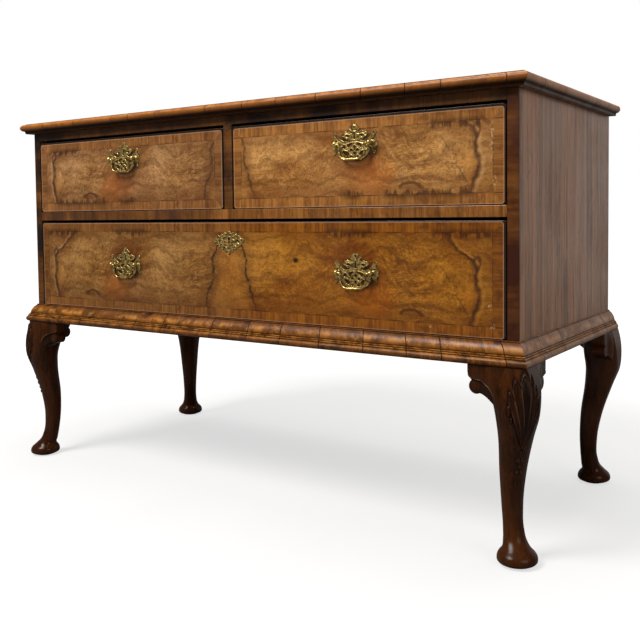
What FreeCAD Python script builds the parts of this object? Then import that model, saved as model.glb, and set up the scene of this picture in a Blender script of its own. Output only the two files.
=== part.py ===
import FreeCAD, Part
import math
import os

# Low chest of drawers on cabriole legs: two small drawers over one long drawer, in a carcass
# that sits on a low stand behind a waist moulding. Millimetres, +Z up, front towards -Y,
# origin on the floor under the middle of the whole chest.

# Carcass
carcass_width = 1170.0
carcass_depth = 495.0
board_thickness = 19.0
back_thickness = 10.0
back_board_count = 3
back_board_gap = 0.5
facing_thickness = 5.0
housing_depth = 7.0
rail_depth = 60.0
tongue_length = 8.0
tongue_thickness = 7.0
centre_stile_width = 21.0
centre_stile_depth = 22.0
stub_tenon = 6.0
kicker_width = 30.0
stop_length = 34.0
stop_width = 22.0
stop_height = 6.0
stop_inset = 110.0

# Heights of the openings and rails, from the floor up
leg_height = 313.0
stand_rail_thickness = 20.0
lower_opening = 193.0
middle_rail_height = 19.0
upper_opening = 162.0
top_rail_height = 18.0
top_thickness = 22.0

# Top edge moulding and waist moulding
top_overhang = 22.0
top_edge_width = 30.0
top_nose_radius = 7.5
top_edge_quirk = 1.5
waist_projection = 20.5
waist_bead_radius = 7.0
waist_fillet = 2.0
waist_ovolo_reach = 15.0
waist_cove_height = 7.0

# Stand
stand_rail_width = 70.0
stand_tenon_length = 25.0
stand_tenon_width = 40.0
stand_tenon_thickness = 8.0
leg_tenon_width = 22.0
leg_tenon_inset = 22.0
leg_tenon_gap = 0.1

# Cabriole legs: a round pad foot, as shares of its radius and height, then stations up the leg as
# share of the leg's height, set of the centre line from the carcass corner, half thickness, and
# corner radius as a share of the half thickness
front_foot_inset = 4.5
rear_foot_inset = 22.0
pad_radius = 32.0
pad_height = 25.0
pad_roundness = 0.97
pad_profile = ((0.62, 0.0), (0.9, 0.15), (1.0, 0.45), (0.93, 0.7), (0.72, 1.0))
leg_stations = (
    (0.115, -7.6, 18.0, 0.92),
    (0.16, -10.6, 16.3, 0.92),
    (0.29, -14.8, 16.8, 0.92),
    (0.45, -13.8, 20.6, 0.92),
    (0.65, -6.1, 27.2, 0.90),
    (0.75, -2.7, 32.0, 0.80),
    (0.85, -5.2, 33.4, 0.55),
    (0.94, -8.5, 31.5, 0.36),
    (1.00, -11.7, 28.8, 0.20),
)
leg_sections = 11
leg_corner_flats = 4

# Knee brackets beside each leg, cut to an ogee that ends in a round ear
bracket_length = 40.0
bracket_drop = 68.0
bracket_end = 10.0
bracket_thickness = 26.0
bracket_face = 15.0
bracket_root = 8.0
ear_radius = 12.0
ear_set = 21.0
ear_drop = 36.0
ear_start = -50.0
ear_end = 120.0
bracket_end_bulge = 0.96
bracket_cove_lean = (0.2, 0.3)
plain_middle = (0.45, 1.0)
plain_upper_way = (0.8, 0.75)
plain_lower_way = (0.16, 1.2)

# Drawers
drawer_side_gap = 2.0
drawer_top_gap = 5.0
drawer_bottom_gap = 1.5
running_gap = 0.3
drawer_back_gap = 25.0
front_thickness = 22.0
front_lap = 6.0
front_corner_radius = 5.0
drawer_side_thickness = 11.0
drawer_back_thickness = 11.0
drawer_back_drop = 5.0
drawer_bottom_thickness = 8.0
drawer_bottom_rise = 8.0
groove_depth = 5.0
dovetail_pitch = 46.0
dovetail_slope = 0.18
dovetail_share = 0.62

# Brasses
plate_half_width = 46.0
plate_rise = 38.0
plate_fall = 29.0
plate_thickness = 1.5
post_pitch = 70.0
post_rod_radius = 2.5
post_bore_gap = 0.1
post_end = 6.0
post_head_radius = 5.0
post_stand_off = 9.5
post_flats = 8
post_profile = ((0.9, 0.0), (0.6, 0.35), (1.0, 0.72), (1.0, 1.28), (0.6, 1.5))
bail_radius = 1.8
bail_running_gap = 0.08
bail_half_width = 26.5
bail_drop = 26.5
bail_neck_radius = 3.0
bail_corner_radius = 15.0
bail_grip_radius = 2.1
bail_neck_steps = 2
bail_corner_steps = 3
bail_pin_end = 4.0
bail_flats = 8
upper_pull_drop = 48.0
lower_pull_rise = 3.0

# Lock and escutcheon on the long drawer
escutcheon_half_width = 39.0
escutcheon_rise = 17.0
escutcheon_fall = 30.0
keyhole_drop = 33.0
keyhole_radius = 3.4
keyhole_slot = 2.4
keyhole_length = 11.0
lock_width = 64.0
lock_height = 50.0
lock_thickness = 10.0
bolt_width = 26.0
bolt_height = 26.0
bolt_thickness = 5.0
bolt_gap = 0.3
bolt_throw = 10.0
bolt_sink = 0.5

# Levels and faces that follow from the sizes above
V = FreeCAD.Vector
half_width = carcass_width / 2
inner_half = half_width - board_thickness
leg_reach = []
for inset in (front_foot_inset, rear_foot_inset):
    knee = max(centre - inset * (1 - share) + half for share, centre, half, corner in leg_stations)
    leg_reach.append(max(knee, pad_radius - inset))
front_y = (max(top_overhang, leg_reach[0]) - leg_reach[1] - carcass_depth) / 2
back_y = front_y + carcass_depth
back_board_y = back_y - back_thickness
drawer_end_y = back_board_y - drawer_back_gap
stand_top = leg_height + stand_rail_thickness
lower_run = stand_top + board_thickness
middle_low = lower_run + lower_opening
upper_run = middle_low + middle_rail_height
upper_top = upper_run + upper_opening
carcass_top = upper_top + top_rail_height
full_height = carcass_top + top_thickness
centre_half = centre_stile_width / 2
pull_x = (centre_half + inner_half) / 2
post_angles = [math.radians(360 * (side + 0.5) / post_flats) for side in range(post_flats)]
bail_angles = [math.radians(360 * (side + 0.5) / bail_flats) for side in range(bail_flats)]

pieces = {}


def box(x, y, z):
    """A box between the low and high value on each axis."""
    return Part.makeBox(x[1] - x[0], y[1] - y[0], z[1] - z[0], V(x[0], y[0], z[0]))


def face(plane, start, *steps):
    """A flat face: plane turns two coordinates into a point, and each step is the end of a line,
    or a pair of a point on the way and the end of an arc."""
    edges = []
    here = start
    for step in steps:
        if isinstance(step[0], tuple):
            way, end = step
            edges.append(Part.Arc(plane(*here), plane(*way), plane(*end)).toShape())
        else:
            end = step
            edges.append(Part.LineSegment(plane(*here), plane(*end)).toShape())
        here = end
    return Part.Face(Part.Wire(edges))


def slab(points, plane, direction):
    """A polygon carried straight along a direction."""
    return face(plane, points[0], *points[1:], points[0]).extrude(direction)


def plan_slab(points, low, high):
    """A polygon in plan between two heights."""
    return slab(points, lambda x, y: V(x, y, low), V(0, 0, high - low))


def mirror_x(shape):
    """The same piece on the other side of the chest's middle plane."""
    return shape.mirror(V(0, 0, 0), V(1, 0, 0))


def both_sides(shape):
    """A piece and its mirror image, as two solids."""
    return [shape, mirror_x(shape)]


def group(solids):
    """Separate solids that share a node."""
    return Part.makeCompound(solids)


def housed_board(depth, low, high):
    """A board whose ends run into housings in the side panels, behind the stile facings."""
    tip = inner_half + housing_depth
    shoulder = front_y + facing_thickness
    outline = [
        (-inner_half, front_y), (inner_half, front_y), (inner_half, shoulder), (tip, shoulder),
        (tip, front_y + depth), (-tip, front_y + depth), (-tip, shoulder), (-inner_half, shoulder),
    ]
    return plan_slab(outline, low, high)


def mitred_frame(profile, seat):
    """A moulding round the front and both sides: the profile's first coordinate is its projection
    from the carcass face, and the front corners are mitred from the seat line outwards."""
    reach = waist_projection + top_overhang
    inner = half_width - seat
    outer = half_width + reach
    front_face = face(lambda p, z: V(-outer, front_y - p, z), *profile)
    side_face = face(lambda p, z: V(half_width + p, back_y, z), *profile)
    front_plan = [
        (-outer, front_y - reach), (outer, front_y - reach),
        (inner, front_y + seat), (-inner, front_y + seat),
    ]
    side_plan = [(outer, front_y - reach), (outer, back_y), (inner, back_y), (inner, front_y + seat)]
    front = front_face.extrude(V(2 * outer, 0, 0)).common(plan_slab(front_plan, 0, full_height))
    run = carcass_depth + reach
    right = side_face.extrude(V(0, -run, 0)).common(plan_slab(side_plan, 0, full_height))
    return front, mirror_x(right), right


def make_top():
    """The top board and the rounded cross-grain mouldings mitred round its front and sides."""
    seat = top_edge_width - top_overhang
    nose = carcass_top + top_thickness - top_edge_quirk - top_nose_radius
    lip = top_overhang - top_nose_radius - top_edge_quirk
    centre = top_overhang - top_nose_radius
    profile = (
        (-seat, carcass_top), (lip, carcass_top), (lip, nose - top_nose_radius),
        (centre, nose - top_nose_radius),
        ((top_overhang, nose), (centre, nose + top_nose_radius)),
        (lip, nose + top_nose_radius), (lip, full_height), (-seat, full_height), (-seat, carcass_top),
    )
    front, left, right = mitred_frame(profile, seat)
    pieces["top_edge_front"] = front
    pieces["top_edge_left"] = left
    pieces["top_edge_right"] = right
    edge = half_width - seat
    pieces["top_board"] = box((-edge, edge), (front_y + seat, back_y), (carcass_top, full_height))


def make_carcass():
    """Sides, facings, rails, dust board, bottom, partition, back and the drawers' guides."""
    shoulder = front_y + facing_thickness
    rail_end = front_y + rail_depth
    tail_root = rail_depth - facing_thickness - 2 * tongue_length
    tail_spread = tail_root * dovetail_slope / 2
    tail_low = shoulder + tongue_length
    tail_high = tail_low + tail_root
    tip = inner_half + housing_depth
    top_rail_plan = [
        (-inner_half, front_y), (inner_half, front_y), (inner_half, tail_low),
        (tip, tail_low - tail_spread), (tip, tail_high + tail_spread), (inner_half, tail_high),
        (inner_half, rail_end), (-inner_half, rail_end), (-inner_half, tail_high),
        (-tip, tail_high + tail_spread), (-tip, tail_low - tail_spread), (-inner_half, tail_low),
    ]
    top_rail = plan_slab(top_rail_plan, upper_top, carcass_top)

    stub = stub_tenon
    tenon_half = centre_half / 2
    tenon_y = (front_y + stub, front_y + centre_stile_depth - stub)
    stile = box((-centre_half, centre_half), (front_y, front_y + centre_stile_depth), (upper_run, upper_top))
    tenon = box((-tenon_half, tenon_half), tenon_y, (upper_run - stub, upper_top + stub))
    stile = stile.fuse(tenon).removeSplitter()

    tongue_low = upper_run - (middle_rail_height + tongue_thickness) / 2
    dust_tip = rail_end - tongue_length
    dust_profile = [
        (rail_end, middle_low), (back_board_y, middle_low), (back_board_y, upper_run),
        (rail_end, upper_run), (rail_end, tongue_low + tongue_thickness),
        (dust_tip, tongue_low + tongue_thickness), (dust_tip, tongue_low), (rail_end, tongue_low),
    ]
    dust_board = slab(dust_profile, lambda y, z: V(-tip, y, z), V(2 * tip, 0, 0))
    middle_rail = housed_board(rail_depth, middle_low, upper_run).cut(dust_board).cut(stile)
    bolt_mortise = lock_bolt(bolt_throw + bolt_gap, bolt_gap)
    middle_rail = middle_rail.cut(bolt_mortise)
    top_rail = top_rail.cut(stile)
    bottom_board = housed_board(carcass_depth - back_thickness, stand_top, lower_run)

    partition_profile = [
        (front_y + centre_stile_depth, upper_run), (back_board_y, upper_run),
        (back_board_y, carcass_top), (rail_end, carcass_top), (rail_end, upper_top),
        (front_y + centre_stile_depth, upper_top),
    ]
    partition = slab(partition_profile, lambda y, z: V(-centre_half, y, z), V(centre_stile_width, 0, 0))

    side = box((inner_half, half_width), (shoulder, back_y), (stand_top, carcass_top))
    rebate = box((inner_half, tip), (back_board_y, back_y), (stand_top, carcass_top))
    for housed in (rebate, top_rail, middle_rail, dust_board, bottom_board):
        side = side.cut(housed)
    facing = box((inner_half, half_width), (front_y, shoulder), (stand_top, carcass_top))

    pitch = (carcass_top - stand_top) / back_board_count
    back_boards = []
    for row in range(back_board_count):
        low = stand_top + row * pitch
        gap = back_board_gap if row < back_board_count - 1 else 0.0
        back_boards.append(box((-tip, tip), (back_board_y, back_y), (low, low + pitch - gap)))

    kickers = []
    for x in (inner_half - kicker_width, centre_half):
        kicker = box((x, x + kicker_width), (rail_end, back_board_y), (upper_top, carcass_top))
        kickers += both_sides(kicker)

    stops = []
    stop_y = front_y + front_thickness + running_gap
    for level, inset in ((upper_run, centre_half + stop_inset), (upper_run, inner_half - stop_inset),
                         (lower_run, inner_half - stop_inset)):
        x = (inset - stop_length / 2, inset + stop_length / 2)
        stops += both_sides(box(x, (stop_y, stop_y + stop_width), (level, level + stop_height)))

    pieces["side_panel_left"] = mirror_x(side)
    pieces["side_panel_right"] = side
    pieces["stile_facing_left"] = mirror_x(facing)
    pieces["stile_facing_right"] = facing
    pieces["top_rail"] = top_rail
    pieces["middle_rail"] = middle_rail
    pieces["centre_stile"] = stile
    pieces["centre_partition"] = partition
    pieces["dust_board"] = dust_board
    pieces["bottom_board"] = bottom_board
    pieces["back_boards"] = group(back_boards)
    pieces["drawer_kickers"] = group(kickers)
    pieces["drawer_stops"] = group(stops)


def make_waist_moulding():
    """Cross-grain moulding round the waist: a bead at the foot, a cove, and an ovolo under a fillet."""
    bead_low = leg_height
    bead_mid = bead_low + waist_bead_radius
    bead_top = bead_mid + waist_bead_radius
    bead_root = waist_projection - waist_bead_radius
    cove_top = bead_top + waist_cove_height
    ovolo_top = lower_run - waist_fillet
    cove_way = (bead_root + waist_fillet * 0.4, bead_top + waist_cove_height * 0.6)
    ovolo_way = (waist_ovolo_reach * 0.8, cove_top + (ovolo_top - cove_top) * 0.68)
    profile = (
        (0.0, bead_low), (bead_root, bead_low),
        ((waist_projection, bead_mid), (bead_root, bead_top)),
        (cove_way, (waist_ovolo_reach, cove_top)),
        (ovolo_way, (waist_fillet, ovolo_top)),
        (waist_fillet, lower_run), (0.0, lower_run), (0.0, bead_low),
    )
    front, left, right = mitred_frame(profile, 0.0)
    pieces["waist_moulding_front"] = front
    pieces["waist_moulding_left"] = left
    pieces["waist_moulding_right"] = right


def circle_points(radius, angles):
    """Points at these angles on a circle about the origin, as pairs."""
    return [(radius * math.cos(angle), radius * math.sin(angle)) for angle in angles]


def skin(rings):
    """A solid with flat faces from each ring of points to the next, and a cap at both ends."""
    faces = [Part.Face(Part.makePolygon(ring + ring[:1])) for ring in (rings[0], rings[-1])]
    count = len(rings[0])
    for low, high in zip(rings, rings[1:]):
        for here in range(count):
            there = (here + 1) % count
            corners = [low[here], low[there], high[there], high[here], low[here]]
            faces.append(Part.Face(Part.makePolygon(corners)))
    shell = Part.makeShell(faces)
    shell.sewShape()
    solid = Part.makeSolid(shell)
    if solid.Volume < 0:
        solid.reverse()
    return solid


def rounded_square(centre, half, corner, z):
    """Points round a square with its middle on the leg's diagonal and rounded corners cut in flats."""
    arm = half - corner
    points = []
    for turn, (sign_x, sign_y) in enumerate([(1, 1), (-1, 1), (-1, -1), (1, -1)]):
        for step in range(leg_corner_flats + 1):
            angle = math.radians(90 * (turn + step / leg_corner_flats))
            x = centre + sign_x * arm + corner * math.cos(angle)
            y = centre + sign_y * arm + corner * math.sin(angle)
            points.append(V(x, y, z))
    return points


def spline(points):
    """A smooth curve through points."""
    curve = Part.BSplineCurve()
    curve.interpolate(points)
    return curve


def cabriole_leg(foot_inset):
    """One leg for a carcass corner at the origin, outwards along +X and +Y: a loft up from the pad
    foot through ankle and knee to the block, and a tenon up into the stand."""
    sections = []
    for share, rise in pad_profile:
        half = pad_radius * share
        sections.append(rounded_square(-foot_inset, half, half * pad_roundness, pad_height * rise))
    heights = [station[0] * leg_height for station in leg_stations]
    line = spline([V(z, station[1], station[2]) for z, station in zip(heights, leg_stations)])
    rounding = spline([V(z, station[2] * station[3], 0) for z, station in zip(heights, leg_stations)])
    for step in range(leg_sections + 1):
        spot = step / leg_sections
        at = line.value(line.LastParameter * spot)
        corner = rounding.value(rounding.LastParameter * spot).y
        lean = foot_inset * (1 - at.x / leg_height)
        sections.append(rounded_square(at.y - lean, at.z, corner, at.x))
    return skin(sections).fuse(leg_tenon(0.0)).removeSplitter()


def leg_tenon(gap):
    """The square tenon at the corner of the stand, or its mortise with a gap."""
    low = -leg_tenon_inset - leg_tenon_width / 2 - gap
    high = -leg_tenon_inset + leg_tenon_width / 2 + gap
    return box((low, high), (low, high), (leg_height, stand_top))


def knee_bracket(eared, leg):
    """A bracket along X beside a leg at the origin's corner, fitted against the leg: an ogee with a
    round ear, or a plain ogee where it faces the back."""
    def plane(u, drop):
        return V(seat - u, bracket_face, leg_height - drop)

    def on_ear(degrees):
        angle = math.radians(degrees)
        return (ear_set + ear_radius * math.cos(angle), ear_drop + ear_radius * math.sin(angle))

    top_centre, top_half = leg_stations[-1][1:3]
    seat = top_centre - top_half
    root = (-bracket_root, 0.0)
    toe = (-bracket_root, bracket_drop)
    outline = [(bracket_length, 0.0), (bracket_length, bracket_end)]
    if eared:
        notch = on_ear(ear_start)
        heel = on_ear(ear_end)
        end_way = (bracket_length * bracket_end_bulge, (bracket_end + notch[1]) / 2)
        lean_x, lean_z = bracket_cove_lean
        cove_x = (heel[0] + toe[0]) / 2 - ear_radius * lean_x
        cove_z = (heel[1] + toe[1]) / 2 - ear_radius * lean_z
        outline += [(end_way, notch), (on_ear((ear_start + ear_end) / 2), heel), ((cove_x, cove_z), toe)]
    else:
        middle, upper_way, lower_way = [
            (bracket_length * along, ear_drop * down)
            for along, down in (plain_middle, plain_upper_way, plain_lower_way)
        ]
        outline += [(upper_way, middle), (lower_way, toe)]
    body = face(plane, root, *outline, root).extrude(V(0, -bracket_thickness, 0))
    return body.cut(leg)


def swap_xy(shape):
    """A piece along X turned over the leg's diagonal to lie along Y."""
    return shape.mirror(V(0, 0, 0), V(1, -1, 0))


def make_stand():
    """Stand rails with tenoned corners, four legs, and two knee brackets beside each leg."""
    width = stand_rail_width
    level = (leg_height, stand_top)
    front = box((-half_width, half_width), (front_y, front_y + width), level)
    back = box((-half_width, half_width), (back_y - width, back_y), level)
    side = box((half_width - width, half_width), (front_y + width, back_y - width), level)
    middle = half_width - width / 2
    mid_z = (leg_height + stand_top) / 2
    tenons = box(
        (middle - stand_tenon_width / 2, middle + stand_tenon_width / 2),
        (front_y + width - stand_tenon_length, back_y - width + stand_tenon_length),
        (mid_z - stand_tenon_thickness / 2, mid_z + stand_tenon_thickness / 2),
    )
    side = side.fuse(tenons).removeSplitter()

    corners = {"front": (front_y, -1, front_foot_inset), "rear": (back_y, 1, rear_foot_inset)}
    for end, (corner_y, outwards, foot_inset) in corners.items():
        leg = cabriole_leg(foot_inset)
        along_x = knee_bracket(end == "front", leg)
        along_y = swap_xy(knee_bracket(True, leg))
        brackets = group([along_x, along_y])
        bore = leg_tenon(leg_tenon_gap)
        placed = []
        for shape in (leg, brackets, bore):
            if outwards < 0:
                shape = shape.mirror(V(0, 0, 0), V(0, 1, 0))
            else:
                shape = shape.copy()
            shape.translate(V(half_width, corner_y, 0))
            placed.append(shape)
        leg, brackets, bore = placed
        bores = both_sides(bore)
        if outwards < 0:
            front = front.cut(bores)
        else:
            back = back.cut(bores)
        pieces["leg_" + end + "_left"] = mirror_x(leg)
        pieces["leg_" + end + "_right"] = leg
        pieces["knee_brackets_" + end + "_left"] = mirror_x(brackets)
        pieces["knee_brackets_" + end + "_right"] = brackets

    side_rails = both_sides(side)
    pieces["stand_rail_front"] = front.cut(side_rails)
    pieces["stand_rail_back"] = back.cut(side_rails)
    pieces["stand_rail_right"], pieces["stand_rail_left"] = side_rails


def dovetails(x, shoulder, tip, low, high):
    """Tails of a drawer side between two heights, widening from the shoulder to the tip."""
    count = max(2, round((high - low) / dovetail_pitch))
    pitch = (high - low) / count
    root = pitch * dovetail_share / 2
    spread = root + abs(shoulder - tip) * dovetail_slope
    tails = []
    for row in range(count):
        z = low + (row + 0.5) * pitch
        outline = [(shoulder, z - root), (tip, z - spread), (tip, z + spread), (shoulder, z + root)]
        tails.append(slab(outline, lambda y, h: V(x[0], y, h), V(x[1] - x[0], 0, 0)))
    return tails


def make_drawer(name, opening, run, height, pulls, pull_z, locked):
    """One drawer: front, sides lapped into it with dovetails, back, and a bottom slid into grooves.
    Its pulls are plates on the front, posts through it, and bails in the posts."""
    low, high = front_levels(run, height)
    side_low = run + running_gap
    side_high = high - drawer_bottom_gap
    bottom_low = run + drawer_bottom_rise
    bottom_high = bottom_low + drawer_bottom_thickness
    back_high = side_high - drawer_back_drop
    left, right = opening[0] + drawer_side_gap, opening[1] - drawer_side_gap
    shoulder = front_y + front_thickness
    end_y = drawer_end_y
    back_shoulder = end_y - drawer_back_thickness

    left_x = (left, left + drawer_side_thickness)
    right_x = (right - drawer_side_thickness, right)
    bottom = box((left_x[1] - groove_depth, right_x[0] + groove_depth),
                 (shoulder - groove_depth, end_y), (bottom_low, bottom_high))
    front = rounded_board((left, right), (low, high)).cut(bottom)
    back = box((left, right), (back_shoulder, end_y), (bottom_high, back_high))
    for side_name, x in (("left", left_x), ("right", right_x)):
        front_tails = dovetails(x, shoulder, front_y + front_lap, low, side_high)
        back_tails = dovetails(x, back_shoulder, end_y, bottom_high, back_high)
        heel = box(x, (back_shoulder, end_y), (side_low, bottom_high))
        side = box(x, (shoulder, back_shoulder), (side_low, side_high))
        side = side.fuse(front_tails + back_tails + [heel]).removeSplitter()
        pieces[name + "_drawer_side_" + side_name] = side.cut(bottom)
        front = front.cut(front_tails)
        back = back.cut(back_tails)

    plates = []
    posts = []
    for index, x in enumerate(pulls):
        plates.append(pull_plate(x, pull_z))
        for post_x in (x - post_pitch / 2, x + post_pitch / 2):
            front = front.cut(post_bore(post_x, pull_z))
            posts.append(post(post_x, pull_z))
        bail_name = name if len(pulls) == 1 else name + "_" + ("left", "right")[index]
        pieces["bail_" + bail_name] = bail(x, pull_z)
    if locked:
        key_z = high - keyhole_drop
        case = lock_case(high)
        front = front.cut(case).cut(keyhole(key_z, front_y, shoulder))
        pieces["lock_case"] = case.cut(lock_bolt(bolt_throw + bolt_gap, bolt_gap))
        pieces["lock_bolt"] = lock_bolt(0.0, 0.0)
        pieces["escutcheon"] = escutcheon(key_z)

    pieces[name + "_drawer_front"] = front
    pieces[name + "_drawer_back"] = back
    pieces[name + "_drawer_bottom"] = bottom
    pieces["pull_plate_" + name] = group(plates)
    pieces["pull_posts_" + name] = group(posts)


def rounded_board(x, z):
    """The board of a drawer front between two values of X and of Z, with its four corners rounded."""
    radius = front_corner_radius
    bulge = radius * (1 - math.sqrt(0.5))
    return face(
        lambda across, height: V(across, front_y, height),
        (x[0] + radius, z[0]),
        (x[1] - radius, z[0]),
        ((x[1] - bulge, z[0] + bulge), (x[1], z[0] + radius)),
        (x[1], z[1] - radius),
        ((x[1] - bulge, z[1] - bulge), (x[1] - radius, z[1])),
        (x[0] + radius, z[1]),
        ((x[0] + bulge, z[1] - bulge), (x[0], z[1] - radius)),
        (x[0], z[0] + radius),
        ((x[0] + bulge, z[0] + bulge), (x[0] + radius, z[0])),
    ).extrude(V(0, front_thickness, 0))


def front_levels(run, height):
    """Lower and upper edge of a drawer front in an opening."""
    return run + drawer_bottom_gap, run + height - drawer_top_gap


def mirrored_outline(half):
    """A closed outline from its right half, listed from the top down."""
    return half + [(-x, z) for x, z in reversed(half[1:-1])] + [half[0]]


def plate_plane(x, z):
    """Coordinates about a plate's middle, on the drawer front's face."""
    return lambda a, b: V(x + a, front_y, z + b)


def lozenge(x, z, centre, half, rise):
    """A diamond-shaped piercing through a plate."""
    corners = [(centre[0], centre[1] + rise), (centre[0] + half, centre[1]),
               (centre[0], centre[1] - rise), (centre[0] - half, centre[1])]
    return slab(corners, plate_plane(x, z), V(0, -plate_thickness, 0))


def pull_plate(x, z):
    """A pierced bat-wing plate: a diamond finial, scrolled shoulders, raised wings and a waisted apron."""
    w = plate_half_width
    up = plate_rise
    down = plate_fall
    right = [
        (0.0, up), (0.26 * w, 0.70 * up), (0.09 * w, 0.57 * up), (0.22 * w, 0.51 * up),
        (0.38 * w, 0.54 * up), (0.55 * w, 0.48 * up), (0.52 * w, 0.35 * up), (0.64 * w, 0.25 * up),
        (0.79 * w, 0.33 * up), (0.86 * w, 0.54 * up), (0.94 * w, 0.50 * up), (0.91 * w, 0.28 * up),
        (w, 0.08 * up), (0.99 * w, -0.12 * down), (0.88 * w, -0.32 * down), (0.93 * w, -0.50 * down),
        (0.86 * w, -0.63 * down), (0.72 * w, -0.45 * down), (0.64 * w, -0.60 * down),
        (0.50 * w, -0.84 * down), (0.28 * w, -0.96 * down), (0.0, -down),
    ]
    plate = slab(mirrored_outline(right)[:-1], plate_plane(x, z), V(0, -plate_thickness, 0))
    lattice = 0.17 * w
    tall = 0.2 * up
    middle = -0.36 * down
    openings = [lozenge(x, z, (0.0, 0.76 * up), 0.07 * w, 0.09 * up)]
    openings.append(lozenge(x, z, (0.0, 0.38 * up), 0.035 * w, 0.13 * up))
    for across, along in ((-1, 0), (1, 0), (0, 1), (0, -1)):
        centre = (across * lattice, middle + along * tall)
        openings.append(lozenge(x, z, centre, 0.8 * lattice, 0.8 * tall))
    for side in (-1, 1):
        openings.append(lozenge(x, z, (side * 0.36 * w, 0.35 * up), 0.08 * w, 0.07 * up))
        openings.append(lozenge(x, z, (side * 0.46 * w, -0.34 * down), 0.1 * w, 0.24 * down))
    for side in (-1, 1):
        openings.append(post_bore(x + side * post_pitch / 2, z))
    return plate.cut(openings)


def post_ring(x, y, z, radius):
    """A ring of points about a post's line."""
    return [V(x + across, y, z + up) for across, up in circle_points(radius, post_angles)]


def post_bore(x, z):
    """The hole for a post's rod through a plate and a drawer front."""
    radius = post_rod_radius + post_bore_gap
    ends = (front_y + front_thickness, front_y - plate_thickness)
    return skin([post_ring(x, y, z, radius) for y in ends])


def post(x, z):
    """A turned post: a rod through the drawer front, a collar on the plate, a neck and a round head
    with the cross hole for the bail's pin."""
    seat = front_y - plate_thickness
    rod_ends = (front_y + front_thickness + post_end, seat)
    rod = skin([post_ring(x, y, z, post_rod_radius) for y in rod_ends])
    rings = [
        post_ring(x, seat - post_stand_off * out, z, post_head_radius * share) for share, out in post_profile
    ]
    reach = 2 * post_head_radius
    start = V(x - reach, seat - post_stand_off, z)
    hole = Part.makeCylinder(bail_radius + bail_running_gap, 2 * reach, start, V(1, 0, 0))
    return rod.fuse(skin(rings)).removeSplitter().cut(hole)


def bail(x, z):
    """A drop handle cast as one rod: pins in the post heads, then necks, sides and a grip that swells
    to its middle, through rings that stand square to the rod's line."""
    y = front_y - plate_thickness - post_stand_off
    neck = bail_half_width + bail_neck_radius
    bow = bail_half_width - bail_corner_radius
    right = [(post_pitch / 2 + bail_pin_end, 0.0, 0.0, bail_radius)]
    for step in range(bail_neck_steps + 1):
        lean = math.radians(90 * step / bail_neck_steps)
        across = neck - bail_neck_radius * math.sin(lean)
        down = bail_neck_radius * (1 - math.cos(lean))
        right.append((across, down, lean, bail_radius))
    for step in range(bail_corner_steps + 1):
        lean = math.radians(90 - 90 * step / bail_corner_steps)
        across = bow + bail_corner_radius * math.sin(lean)
        down = bail_drop - bail_corner_radius * (1 - math.cos(lean))
        right.append((across, down, lean, bail_radius))
    left = [(-across, down, -lean, radius) for across, down, lean, radius in reversed(right)]
    rings = []
    for across, down, lean, radius in right + [(0.0, bail_drop, 0.0, bail_grip_radius)] + left:
        ring = []
        for out, up in circle_points(radius, bail_angles):
            ring.append(V(x + across - up * math.sin(lean), y + out, z - down + up * math.cos(lean)))
        rings.append(ring)
    return skin(rings)


def keyhole(z, low_y, high_y):
    """A round hole over a slot, between two depths."""
    depth = high_y - low_y
    hole = Part.makeCylinder(keyhole_radius, depth, V(0, low_y, z), V(0, 1, 0))
    slot = box((-keyhole_slot / 2, keyhole_slot / 2), (low_y, high_y), (z - keyhole_length, z))
    return hole.fuse(slot)


def lock_case(high):
    """The lock's brass box, let into the back of the long drawer's front, flush with its upper edge."""
    inside = front_y + front_thickness
    half = lock_width / 2
    return box((-half, half), (inside - lock_thickness, inside), (high - lock_height, high))


def lock_bolt(reach, gap):
    """The bolt at rest in the case, or the space that it sweeps up by the reach, with a gap round it."""
    high = front_levels(lower_run, lower_opening)[1] - bolt_sink
    mid_y = front_y + front_thickness - lock_thickness / 2
    half = bolt_width / 2 + gap
    deep = bolt_thickness / 2 + gap
    return box((-half, half), (mid_y - deep, mid_y + deep), (high - bolt_height - gap, high + reach))


def escutcheon(z):
    """A pierced plate round the keyhole: a lobed lozenge with a drop below."""
    w = escutcheon_half_width
    up = escutcheon_rise
    down = escutcheon_fall
    right = [
        (0.0, up), (0.16 * w, 0.62 * up), (0.38 * w, 0.56 * up), (0.52 * w, 0.2 * up),
        (0.8 * w, 0.42 * up), (w, 0.0), (0.8 * w, -0.12 * down), (0.62 * w, -0.3 * down),
        (0.4 * w, -0.44 * down), (0.26 * w, -0.68 * down), (0.09 * w, -0.7 * down), (0.0, -down),
    ]
    plate = slab(mirrored_outline(right)[:-1], plate_plane(0.0, z), V(0, -plate_thickness, 0))
    openings = [keyhole(z, front_y - plate_thickness, front_y)]
    for side in (-1, 1):
        openings.append(lozenge(0.0, z, (side * 0.62 * w, 0.02 * up), 0.1 * w, 0.2 * up))
        openings.append(lozenge(0.0, z, (side * 0.2 * w, -0.5 * down), 0.07 * w, 0.1 * down))
    return plate.cut(openings)


make_top()
make_carcass()
make_waist_moulding()
make_stand()
upper_pull_z = front_levels(upper_run, upper_opening)[1] - upper_pull_drop
lower_pull_z = sum(front_levels(lower_run, lower_opening)) / 2 + lower_pull_rise
make_drawer("left", (-inner_half, -centre_half), upper_run, upper_opening, [-pull_x], upper_pull_z, False)
make_drawer("right", (centre_half, inner_half), upper_run, upper_opening, [pull_x], upper_pull_z, False)
long_pulls = [-pull_x, pull_x]
make_drawer("long", (-inner_half, inner_half), lower_run, lower_opening, long_pulls, lower_pull_z, True)

os.makedirs("parts", exist_ok=True)
for node, shape in pieces.items():
    shape.exportStep("parts/" + node + ".step")
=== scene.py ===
import math
from functools import partialmethod

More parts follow.
